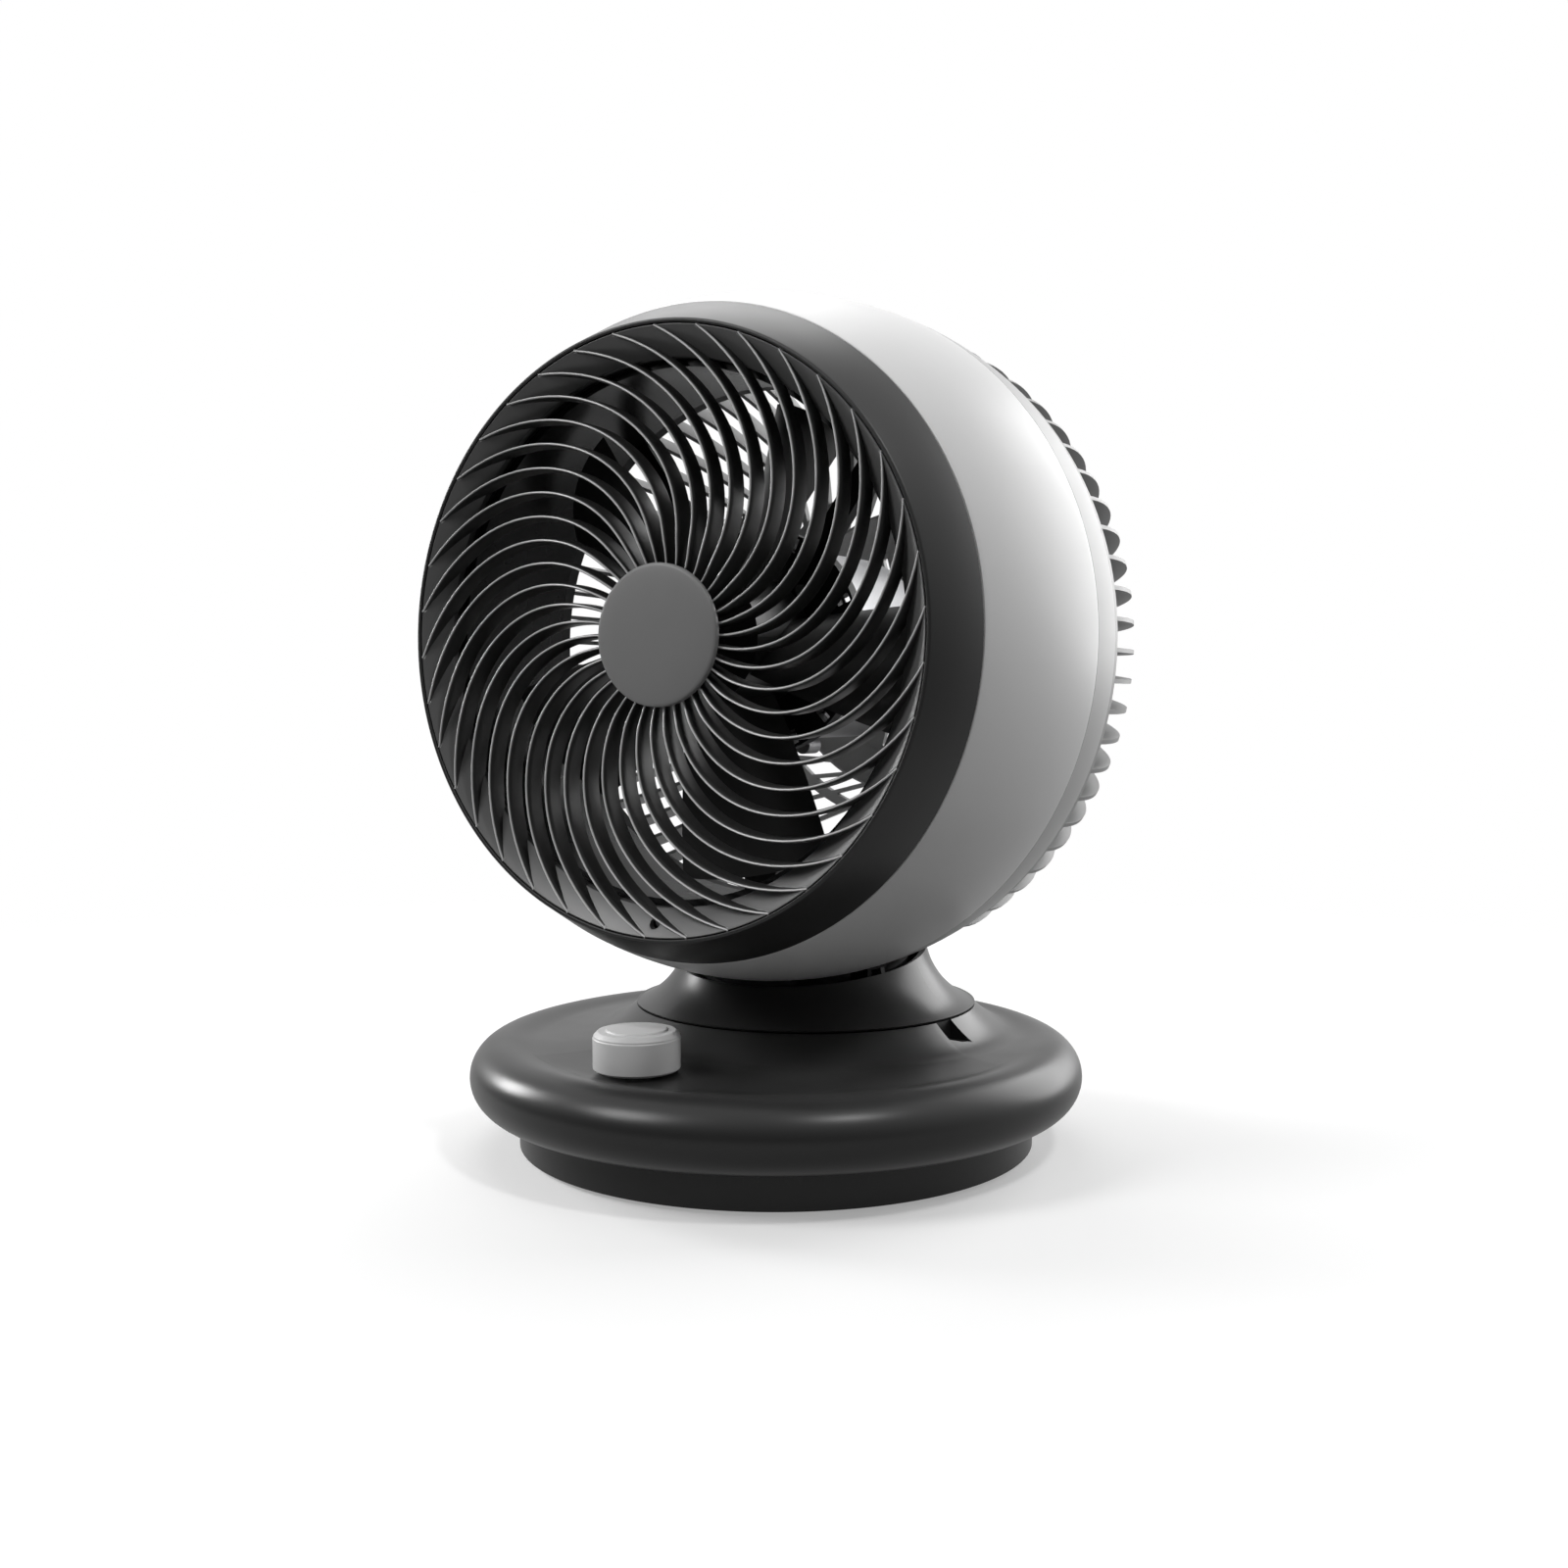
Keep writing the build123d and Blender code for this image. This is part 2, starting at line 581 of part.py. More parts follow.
# ---------------------------------------------------------------- base plinth
with BuildPart() as base_plinth:
    with BuildSketch(BASE_SECTION):
        Polygon((0, PLINTH_BOTTOM), (PLINTH_RADIUS, PLINTH_BOTTOM), (PLINTH_RADIUS, PLINTH_TOP),
                (PLINTH_INNER_RADIUS, PLINTH_TOP), (PLINTH_INNER_RADIUS, FLOOR_TOP),
                (0, FLOOR_TOP), align=None)
    revolve(axis=BASE_AXIS)
    with BuildSketch(Plane.XY.offset(PLINTH_TOP - PLINTH_LIP_HEIGHT)):
        Circle(PLINTH_INNER_RADIUS)
        Circle(LIP_RADIUS - PLINTH_WALL, mode=Mode.SUBTRACT)
    extrude(amount=PLINTH_LIP_HEIGHT)
    with BuildSketch(Plane.XY.offset(PLINTH_TOP)):
        Circle(LIP_RADIUS)
        Circle(LIP_RADIUS - PLINTH_WALL, mode=Mode.SUBTRACT)
    extrude(amount=PLINTH_LIP_HEIGHT)
    with BuildSketch(Plane.XY.offset(PLINTH_BOTTOM)):
        with PolarLocations(BASE_SCREW_RING, BASE_SCREW_COUNT, start_angle=BASE_SCREW_START):
            Circle(BOSS_RADIUS)
    extrude(amount=PLINTH_HEIGHT)
    with BuildSketch(Plane.XY.offset(FLOOR_TOP)):
        with Locations((0, -BOARD_RING)):
            with GridLocations(BOARD_POST_SPAN_X, BOARD_POST_SPAN_Y, 2, 2):
                Circle(BOARD_POST_RADIUS)
    extrude(amount=BOARD_BOTTOM - FLOOR_TOP)
    with BuildSketch(Plane.XY.offset(PLINTH_BOTTOM)):
        with PolarLocations(FOOT_RING, FOOT_COUNT, start_angle=-90):
            Circle(FOOT_RADIUS + SEAT_GAP)
    extrude(amount=FOOT_POCKET, mode=Mode.SUBTRACT)
    with BuildSketch(Plane.XY.offset(PLINTH_BOTTOM)):
        with PolarLocations(BASE_SCREW_RING, BASE_SCREW_COUNT, start_angle=BASE_SCREW_START):
            Circle(BASE_SCREW_RADIUS + SCREW_PLAY)
    extrude(amount=PLINTH_HEIGHT, mode=Mode.SUBTRACT)
    with BuildSketch(Plane.XY.offset(PLINTH_BOTTOM)):
        with PolarLocations(BASE_SCREW_RING, BASE_SCREW_COUNT, start_angle=BASE_SCREW_START):
            Circle(BASE_SCREW_HEAD_RADIUS + SEAT_GAP)
    extrude(amount=BASE_SCREW_HEAD, mode=Mode.SUBTRACT)
    with BuildSketch(INLET_PLANE):
        Rectangle(INLET_WIDTH + 2 * SEAT_GAP, INLET_HEIGHT + 2 * SEAT_GAP)
    extrude(amount=INLET_DEPTH, mode=Mode.SUBTRACT)
finish(base_plinth.part, "base_plinth")

# ---------------------------------------------------------------- base top shell
with BuildPart() as base_top_shell:
    add(skin_outer)
    add(shell_inner, mode=Mode.SUBTRACT)
    with BuildSketch(Plane.XY.offset(PLINTH_TOP)):
        Circle(PLINTH_INNER_RADIUS)
    extrude(amount=SHELL_WALL, mode=Mode.SUBTRACT)
    with BuildSketch(neck_plane(DISH_INNER_Z)):
        Circle(WELL_RADIUS + WELL_WALL)
    extrude(amount=COLLAR_HEIGHT + SHELL_WALL)
    with BuildSketch(neck_plane(DISH_Z)):
        Circle(WELL_RADIUS)
    extrude(amount=COLLAR_HEIGHT, mode=Mode.SUBTRACT)
    with BuildSketch(neck_plane(DISH_INNER_Z)):
        Circle(HUB_RADIUS + HUB_PLAY)
    extrude(amount=SHELL_WALL, mode=Mode.SUBTRACT)
    with BuildSketch(Plane.XY.offset(PLINTH_TOP)):
        with PolarLocations(BASE_SCREW_RING, BASE_SCREW_COUNT, start_angle=BASE_SCREW_START):
            Circle(BOSS_TOP_RADIUS)
    extrude(amount=DISH_INNER_Z + SHELL_WALL / 2 - PLINTH_TOP)
    with BuildSketch(Plane.XY.offset(PLINTH_TOP)):
        with PolarLocations(BASE_SCREW_RING, BASE_SCREW_COUNT, start_angle=BASE_SCREW_START):
            Circle(BASE_SCREW_RADIUS + SCREW_PLAY)
    extrude(amount=BASE_SCREW_LENGTH - PLINTH_HEIGHT + SHELL_WALL, mode=Mode.SUBTRACT)
    add(panel_layer(SEAT_GAP), mode=Mode.SUBTRACT)
    with BuildSketch(Plane.XY.offset(DISH_INNER_Z)):
        with Locations(KNOB_SPOT):
            Circle(BUSHING_RADIUS + SCREW_PLAY)
    extrude(amount=SHELL_WALL, mode=Mode.SUBTRACT)
    with BuildSketch(neck_plane(SEAM_Z - NOTCH_HEIGHT)):
        add(sector_face(PANEL_END, PANEL_END + NOTCH_WIDTH, COLLAR_FOOT_RADIUS))
        Circle(WELL_RADIUS + WELL_WALL, mode=Mode.SUBTRACT)
    extrude(amount=NOTCH_HEIGHT, mode=Mode.SUBTRACT)
finish(base_top_shell.part, "base_top_shell")

# ---------------------------------------------------------------- control panel
with BuildPart() as control_panel:
    add(panel_layer(0))
    with BuildSketch(Plane.XY.offset(DISH_INNER_Z)):
        with Locations(KNOB_SPOT):
            Circle(BUSHING_RADIUS + SCREW_PLAY)
    extrude(amount=2 * SHELL_WALL, mode=Mode.SUBTRACT)
finish(control_panel.part, "control_panel")

# ---------------------------------------------------------------- rubber feet
with BuildPart() as rubber_feet:
    with BuildSketch(Plane.XY):
        with PolarLocations(FOOT_RING, FOOT_COUNT, start_angle=-90):
            Circle(FOOT_RADIUS)
    extrude(amount=FOOT_HEIGHT + FOOT_POCKET)
    chamfer(rubber_feet.faces().filter_by(Axis.Z).group_by(Axis.Z)[0].edges(), FOOT_POCKET / 2)
finish(rubber_feet.part, "rubber_feet")

# ---------------------------------------------------------------- base screws
with BuildPart() as base_screws:
    with BuildSketch(Plane.XY.offset(PLINTH_BOTTOM)):
        with PolarLocations(BASE_SCREW_RING, BASE_SCREW_COUNT, start_angle=BASE_SCREW_START):
            Circle(BASE_SCREW_HEAD_RADIUS)
    extrude(amount=BASE_SCREW_HEAD)
    with BuildSketch(Plane.XY.offset(PLINTH_BOTTOM)):
        with PolarLocations(BASE_SCREW_RING, BASE_SCREW_COUNT, start_angle=BASE_SCREW_START):
            Circle(BASE_SCREW_RADIUS)
    extrude(amount=BASE_SCREW_LENGTH)
finish(base_screws.part, "base_screws")

# ---------------------------------------------------------------- ballast plate
with BuildPart() as ballast_plate:
    with BuildSketch(Plane.XY.offset(FLOOR_TOP)):
        Circle(BALLAST_RADIUS)
        with Locations((0, -BOARD_RING)):
            with GridLocations(BOARD_POST_SPAN_X, BOARD_POST_SPAN_Y, 2, 2):
                Circle(BOARD_POST_RADIUS + SLIDE_GAP, mode=Mode.SUBTRACT)
    extrude(amount=BALLAST_THICKNESS)
finish(ballast_plate.part, "ballast_plate")

# ---------------------------------------------------------------- control board
with BuildPart() as control_board:
    with BuildSketch(Plane.XY.offset(BOARD_BOTTOM)):
        with Locations((0, -BOARD_RING)):
            Rectangle(BOARD_LENGTH, BOARD_WIDTH)
    extrude(amount=BOARD_THICKNESS)
    with BuildSketch(Plane.XY.offset(BOARD_BOTTOM + BOARD_THICKNESS)):
        with Locations((0, -BOARD_RING)):
            with GridLocations(COMPONENT_PITCH, 0, COMPONENT_COUNT, 1):
                Rectangle(COMPONENT_LENGTH, COMPONENT_WIDTH)
    extrude(amount=BOARD_POST_HEIGHT)
finish(control_board.part, "control_board")

# ---------------------------------------------------------------- power inlet
with BuildPart() as power_inlet:
    with BuildSketch(INLET_PLANE):
        Rectangle(INLET_WIDTH, INLET_HEIGHT)
    extrude(amount=INLET_DEPTH)
    with BuildSketch(INLET_PLANE):
        RectangleRounded(INLET_SOCKET_WIDTH, INLET_SOCKET_HEIGHT, INLET_SOCKET_CORNER)
    extrude(amount=INLET_SOCKET_DEPTH, mode=Mode.SUBTRACT)
    with BuildSketch(INLET_PLANE.offset(INLET_PIN_SETBACK)):
        with GridLocations(INLET_SOCKET_WIDTH / 2, 0, 2, 1):
            Circle(INLET_PIN_RADIUS)
    extrude(amount=INLET_SOCKET_DEPTH)
finish(power_inlet.part, "power_inlet")

# ---------------------------------------------------------------- rotary switch and its nut
with BuildPart() as rotary_switch:
    with BuildSketch(Plane.XY.offset(DISH_INNER_Z - SWITCH_HEIGHT)):
        with Locations(KNOB_SPOT):
            Circle(SWITCH_RADIUS)
    extrude(amount=SWITCH_HEIGHT)
    with BuildSketch(Plane.XY.offset(DISH_INNER_Z)):
        with Locations(KNOB_SPOT):
            Circle(BUSHING_RADIUS)
    extrude(amount=SHELL_WALL + BUSHING_HEIGHT)
    with BuildSketch(Plane.XY.offset(DISH_INNER_Z - SWITCH_HEIGHT + SHELL_WALL)):
        with Locations(KNOB_SPOT):
            Circle(SPINDLE_RADIUS + BEARING_FIT)
    extrude(amount=SWITCH_HEIGHT + BUSHING_HEIGHT, mode=Mode.SUBTRACT)
finish(rotary_switch.part, "rotary_switch")

with BuildPart() as switch_nut:
    with BuildSketch(Plane.XY.offset(DISH_Z)):
        with Locations(KNOB_SPOT):
            RegularPolygon(NUT_WIDTH / 2, 6, major_radius=False)
            Circle(BUSHING_RADIUS + NUT_PLAY, mode=Mode.SUBTRACT)
    extrude(amount=NUT_THICKNESS)
finish(switch_nut.part, "switch_nut")

# ---------------------------------------------------------------- speed knob and spindle
with BuildPart() as speed_knob:
    with BuildSketch(Plane.XY.offset(KNOB_BOTTOM)):
        with Locations(KNOB_SPOT):
            Circle(KNOB_RADIUS)
    extrude(amount=KNOB_HEIGHT)
    chamfer(speed_knob.faces().sort_by(Axis.Z)[-1].edges(), KNOB_CHAMFER)
    with BuildSketch(Plane.XY.offset(KNOB_TOP)):
        with Locations(KNOB_SPOT):
            Circle(KNOB_CAP_RADIUS)
    extrude(amount=KNOB_CAP_HEIGHT)
    with BuildSketch(Plane.XY.offset(KNOB_BOTTOM)):
        with Locations(KNOB_SPOT):
            Circle(KNOB_RADIUS - KNOB_WALL)
            Circle(KNOB_SOCKET_RADIUS, mode=Mode.SUBTRACT)
    extrude(amount=KNOB_HEIGHT - 2 * KNOB_WALL, mode=Mode.SUBTRACT)
    with BuildSketch(Plane.XY.offset(KNOB_BOTTOM)):
        with Locations(KNOB_SPOT):
            Circle(NUT_WIDTH / sqrt(3) + SLIDE_GAP)
    extrude(amount=BUSHING_HEIGHT, mode=Mode.SUBTRACT)
    with BuildSketch(Plane.XY.offset(KNOB_BOTTOM)):
        with Locations(KNOB_SPOT):
            Circle(SPINDLE_RADIUS + BEARING_FIT)
    extrude(amount=KNOB_HEIGHT - 2 * KNOB_WALL, mode=Mode.SUBTRACT)
finish(speed_knob.part, "speed_knob")

with BuildPart() as knob_spindle:
    spindle_bottom = DISH_INNER_Z - SWITCH_HEIGHT + SHELL_WALL
    with BuildSketch(Plane.XY.offset(spindle_bottom)):
        with Locations(KNOB_SPOT):
            Circle(SPINDLE_RADIUS)
    extrude(amount=KNOB_TOP - 2 * KNOB_WALL - spindle_bottom)
finish(knob_spindle.part, "knob_spindle")

# ---------------------------------------------------------------- swing motor, its screws, pinion and shaft
with BuildPart() as swing_motor:
    with BuildSketch(Plane.XY.offset(BALLAST_TOP)):
        with Locations((0, PINION_Y)):
            Circle(SWING_MOTOR_RADIUS)
    extrude(amount=SWING_MOTOR_TOP - BALLAST_TOP)
    with BuildSketch(Plane.XY.offset(BALLAST_TOP)):
        with Locations((0, PINION_Y)):
            SlotCenterToCenter(2 * SWING_EAR_RING, 2 * SWING_EAR_RADIUS)
    extrude(amount=SWING_EAR_THICKNESS)
    with BuildSketch(Plane.XY.offset(BALLAST_TOP)):
        with Locations((-SWING_EAR_RING, PINION_Y), (SWING_EAR_RING, PINION_Y)):
            Circle(NECK_SCREW_RADIUS + SCREW_PLAY)
    extrude(amount=SWING_EAR_THICKNESS, mode=Mode.SUBTRACT)
    with BuildSketch(Plane.XY.offset(SWING_MOTOR_TOP)):
        with Locations((0, PINION_Y)):
            Circle(PINION_SHAFT_RADIUS + BEARING_FIT)
    extrude(amount=-SHAFT_SEAT, mode=Mode.SUBTRACT)
finish(swing_motor.part, "swing_motor")

with BuildPart() as swing_motor_screws:
    with BuildSketch(Plane.XY.offset(BALLAST_TOP)):
        with Locations((-SWING_EAR_RING, PINION_Y), (SWING_EAR_RING, PINION_Y)):
            Circle(NECK_SCREW_RADIUS)
    extrude(amount=SWING_EAR_THICKNESS)
    with BuildSketch(Plane.XY.offset(BALLAST_TOP + SWING_EAR_THICKNESS)):
        with Locations((-SWING_EAR_RING, PINION_Y), (SWING_EAR_RING, PINION_Y)):
            Circle(NECK_SCREW_HEAD_RADIUS)
    extrude(amount=NECK_SCREW_HEAD)
finish(swing_motor_screws.part, "swing_motor_screws")


def tooth(root, tip, base_width, tip_width):
    """One straight-flanked gear tooth along x, set a little into its rim."""
    inset = root - GEAR_MODULE / 2
    base = base_width / 2
    top = tip_width / 2
    Polygon((inset, -base), (root, -base), (tip, -top), (tip, top), (root, base), (inset, base), align=None)


with BuildPart() as swing_pinion:
    with BuildSketch(Plane.XY.offset(PINION_BOTTOM)):
        with Locations((0, PINION_Y)):
            Circle(PINION_PITCH_RADIUS - TOOTH_ROOT)
            with PolarLocations(0, PINION_TEETH, start_angle=90):
                tooth(PINION_PITCH_RADIUS - TOOTH_ROOT, PINION_PITCH_RADIUS + TOOTH_TIP,
                      TOOTH_BASE_WIDTH, TOOTH_TIP_WIDTH)
            Circle(PINION_SHAFT_RADIUS + BEARING_FIT, mode=Mode.SUBTRACT)
    extrude(amount=PINION_THICKNESS)
finish(swing_pinion.part, "swing_pinion")

with BuildPart() as pinion_shaft:
    with BuildSketch(Plane.XY.offset(SWING_MOTOR_TOP - SHAFT_SEAT)):
        with Locations((0, PINION_Y)):
            Circle(PINION_SHAFT_RADIUS)
    extrude(amount=SHAFT_SEAT + SWING_MOTOR_GAP + PINION_THICKNESS)
finish(pinion_shaft.part, "pinion_shaft")

# ---------------------------------------------------------------- turntable
finish(ring_solid(neck_plane(DISH_Z), RACE_INNER_RADIUS, RACE_OUTER_RADIUS, RACE_THICKNESS), "turntable_race")

with BuildPart() as turntable:
    with BuildSketch(NECK_SECTION):
        Polygon((HUB_RADIUS - HUB_WALL, RETAINER_TOP), (HUB_RADIUS, RETAINER_TOP),
                (HUB_RADIUS, TURNTABLE_BOTTOM),
                (TURNTABLE_RADIUS, TURNTABLE_BOTTOM), (TURNTABLE_RADIUS, TURNTABLE_TOP),
                (UPSTAND_OUTER_RADIUS, TURNTABLE_TOP), (UPSTAND_OUTER_RADIUS, NECK_FLOOR_Z),
                (UPSTAND_INNER_RADIUS, NECK_FLOOR_Z), (UPSTAND_INNER_RADIUS, TURNTABLE_BOTTOM),
                (HUB_RADIUS - HUB_WALL, TURNTABLE_BOTTOM), align=None)
    revolve(axis=NECK_AXIS)
    with BuildSketch(neck_plane(NECK_FLOOR_Z)):
        with PolarLocations(NECK_SCREW_RING, NECK_SCREW_COUNT, start_angle=NECK_SCREW_START):
            Circle(NECK_SCREW_RADIUS + SCREW_PLAY)
    extrude(amount=-NECK_SCREW_LENGTH, mode=Mode.SUBTRACT)
    with BuildSketch(neck_plane(RETAINER_TOP)):
        with PolarLocations(RETAINER_SCREW_RING, NECK_SCREW_COUNT, start_angle=NECK_SCREW_START):
            Circle(NECK_SCREW_RADIUS + SCREW_PLAY)
    extrude(amount=NECK_SCREW_LENGTH - RETAINER_THICKNESS, mode=Mode.SUBTRACT)
finish(turntable.part, "turntable")

with BuildPart() as turntable_retainer:
    add(ring_solid(neck_plane(RETAINER_BOTTOM), GEAR_BORE, RETAINER_RADIUS, RETAINER_THICKNESS))
    with BuildSketch(neck_plane(RETAINER_BOTTOM)):
        with PolarLocations(RETAINER_SCREW_RING, NECK_SCREW_COUNT, start_angle=NECK_SCREW_START):
            Circle(NECK_SCREW_RADIUS + SCREW_PLAY)
    extrude(amount=RETAINER_THICKNESS, mode=Mode.SUBTRACT)
finish(turntable_retainer.part, "turntable_retainer")

with BuildPart() as retainer_screws:
    with BuildSketch(neck_plane(RETAINER_BOTTOM)):
        with PolarLocations(RETAINER_SCREW_RING, NECK_SCREW_COUNT, start_angle=NECK_SCREW_START):
            Circle(NECK_SCREW_RADIUS)
    extrude(amount=NECK_SCREW_LENGTH)
    with BuildSketch(neck_plane(RETAINER_BOTTOM - RETAINER_SCREW_HEAD)):
        with PolarLocations(RETAINER_SCREW_RING, NECK_SCREW_COUNT, start_angle=NECK_SCREW_START):
            Circle(NECK_SCREW_HEAD_RADIUS)
    extrude(amount=RETAINER_SCREW_HEAD)
finish(retainer_screws.part, "retainer_screws")

with BuildPart() as swing_gear:
    with BuildSketch(neck_plane(GEAR_BOTTOM)):
        Circle(GEAR_PITCH_RADIUS - TOOTH_ROOT)
        with PolarLocations(0, GEAR_TEETH):
            tooth(GEAR_PITCH_RADIUS - TOOTH_ROOT, GEAR_PITCH_RADIUS + TOOTH_TIP, TOOTH_BASE_WIDTH,
                  TOOTH_TIP_WIDTH)
        Circle(GEAR_BORE, mode=Mode.SUBTRACT)
    extrude(amount=GEAR_THICKNESS)
finish(swing_gear.part, "swing_gear")

# ---------------------------------------------------------------- neck shell
def neck_body(inset):
    """Solid under the neck's trumpet-shaped surface, moved inwards by `inset`."""
    straight = NECK_BOTTOM + NECK_STRAIGHT_HEIGHT
    foot = (SEAM_RADIUS - inset, NECK_BOTTOM)
    flare = (NECK_FLARE_RADIUS - inset, NECK_BOTTOM + NECK_FLARE_HEIGHT - inset / 2)
    top = (NECK_RADIUS - inset, straight)
    with BuildPart(mode=Mode.PRIVATE) as body:
        with BuildSketch(NECK_SECTION):
            with BuildLine():
                ThreePointArc(foot, flare, top)
                Line(top, (NECK_RADIUS - inset, NECK_TOP))
                Line((NECK_RADIUS - inset, NECK_TOP), (0, NECK_TOP))
                Line((0, NECK_TOP), (0, NECK_BOTTOM))
                Line((0, NECK_BOTTOM), foot)
            make_face()
        revolve(axis=NECK_AXIS)
    return body.part


with BuildPart() as rim_webs:
    with BuildSketch(neck_plane(NECK_BOTTOM + NECK_FLARE_HEIGHT)):
        with PolarLocations(NECK_RADIUS, WEB_COUNT, start_angle=WEB_START, angular_range=WEB_RANGE):
            Rectangle(WEB_REACH, WEB_THICKNESS)
    extrude(amount=NECK_TOP - NECK_BOTTOM)
    add(neck_body(NECK_WALL / 2), mode=Mode.INTERSECT)
    add(cup_ball(HEAD_RADIUS + WEB_GAP), mode=Mode.SUBTRACT)

with BuildPart() as neck_shell:
    add(neck_body(0))
    add(neck_body(NECK_WALL), mode=Mode.SUBTRACT)
    with BuildSketch(neck_plane(NECK_FLOOR_Z)):
        Circle(NECK_FLARE_RADIUS + NECK_WALL)
    extrude(amount=NECK_FLOOR)
    with BuildSketch(neck_plane(NECK_FLOOR_Z)):
        with PolarLocations(NECK_SCREW_RING, NECK_SCREW_COUNT, start_angle=NECK_SCREW_START):
            Circle(NECK_SCREW_RADIUS + SCREW_PLAY)
    extrude(amount=NECK_FLOOR, mode=Mode.SUBTRACT)
    add(cup_ball(CUP_RADIUS), mode=Mode.SUBTRACT)
    add(rim_webs.part)
finish(neck_shell.part, "neck_shell")

with BuildPart() as neck_screws:
    with BuildSketch(neck_plane(NECK_FLOOR_TOP - NECK_SCREW_LENGTH)):
        with PolarLocations(NECK_SCREW_RING, NECK_SCREW_COUNT, start_angle=NECK_SCREW_START):
            Circle(NECK_SCREW_RADIUS)
    extrude(amount=NECK_SCREW_LENGTH)
    with BuildSketch(neck_plane(NECK_FLOOR_TOP)):
        with PolarLocations(NECK_SCREW_RING, NECK_SCREW_COUNT, start_angle=NECK_SCREW_START):
            Circle(NECK_SCREW_HEAD_RADIUS)
    extrude(amount=NECK_SCREW_HEAD)
finish(neck_screws.part, "neck_screws")

# ---------------------------------------------------------------- tilt saddle, pads, post, clamp and screw
with BuildPart() as tilt_saddle:
    with BuildSketch(neck_plane(NECK_FLOOR_TOP)):
        Circle(SADDLE_RADIUS)
    extrude(amount=NECK_TOP - NECK_FLOOR_TOP)
    add(cup_ball(CUP_RADIUS), mode=Mode.SUBTRACT)
    add(arc_block(REST_ANGLE - POST_FOOT_HALF_ANGLE - POST_FOOT_PLAY, REST_ANGLE + POST_FOOT_HALF_ANGLE
                  + POST_FOOT_PLAY, POST_FOOT_HALF_WIDTH + SEAT_GAP, HEAD_RADIUS,
                  CUP_RADIUS + POST_FOOT_THICKNESS), mode=Mode.SUBTRACT)
finish(tilt_saddle.part, "tilt_saddle")

with BuildPart() as saddle_pads:
    for side in (-PAD_OFFSET, PAD_OFFSET):
        add(arc_block(REST_ANGLE - PAD_HALF_ANGLE, REST_ANGLE + PAD_HALF_ANGLE, PAD_HALF_WIDTH,
                      HEAD_RADIUS + PAD_GAP, CUP_RADIUS, side))
finish(saddle_pads.part, "saddle_pads")

with BuildPart() as tilt_post:
    add(arc_block(REST_ANGLE - POST_FOOT_HALF_ANGLE, REST_ANGLE + POST_FOOT_HALF_ANGLE, POST_FOOT_HALF_WIDTH,
                  CUP_RADIUS, CUP_RADIUS + POST_FOOT_THICKNESS))
    add(arc_block(REST_ANGLE - STEM_HALF_ANGLE, REST_ANGLE + STEM_HALF_ANGLE, STEM_HALF_WIDTH,
                  CLAMP_OUTER, CUP_RADIUS + POST_FOOT_THICKNESS))
    with BuildSketch(radial_plane(REST_ANGLE, CLAMP_OUTER - CLAMP_THICKNESS)):
        Circle(TILT_SCREW_RADIUS + SCREW_PLAY)
    extrude(amount=TILT_SCREW_LENGTH, mode=Mode.SUBTRACT)
finish(tilt_post.part, "tilt_post")

with BuildPart() as tilt_clamp:
    add(arc_block(REST_ANGLE - CLAMP_HALF_ANGLE, REST_ANGLE + CLAMP_HALF_ANGLE, CLAMP_HALF_WIDTH,
                  CLAMP_OUTER - CLAMP_THICKNESS, CLAMP_OUTER))
    with BuildSketch(radial_plane(REST_ANGLE, CLAMP_OUTER - 2 * CLAMP_THICKNESS)):
        Circle(TILT_SCREW_RADIUS + SCREW_PLAY)
    extrude(amount=3 * CLAMP_THICKNESS, mode=Mode.SUBTRACT)
finish(tilt_clamp.part, "tilt_clamp")

with BuildPart() as tilt_screw:
    with BuildSketch(radial_plane(REST_ANGLE, CLAMP_OUTER - CLAMP_THICKNESS - SCREW_PLAY)):
        Circle(TILT_SCREW_RADIUS)
    extrude(amount=TILT_SCREW_LENGTH)
    with BuildSketch(radial_plane(REST_ANGLE, CLAMP_OUTER - CLAMP_THICKNESS - SCREW_PLAY)):
        Circle(TILT_SCREW_HEAD_RADIUS)
    extrude(amount=-TILT_SCREW_HEAD)
finish(tilt_screw.part, "tilt_screw")

# ---------------------------------------------------------------- head shell, the white belt
with BuildPart() as head_shell:
    with BuildSketch(HEAD_SECTION):
        with BuildLine():
            front = (BELT_FRONT_RADIUS, BELT_FRONT_DEPTH)
            rear = (BELT_REAR_RADIUS, BELT_REAR_DEPTH)
            inner_front = (BELT_FRONT_RADIUS - SHELL_THICKNESS, BELT_FRONT_DEPTH)
            inner_rear = (BELT_REAR_RADIUS - SHELL_THICKNESS, BELT_REAR_DEPTH)
            ThreePointArc(front, (BELT_MIDDLE_RADIUS, BELT_MIDDLE_DEPTH), rear)
            Line(rear, inner_rear)
            ThreePointArc(inner_rear, (BELT_MIDDLE_RADIUS - SHELL_THICKNESS, BELT_MIDDLE_DEPTH), inner_front)
            Line(inner_front, front)
        make_face()
    revolve(axis=HEAD_AXIS)
finish(head_shell.part, "head_shell")

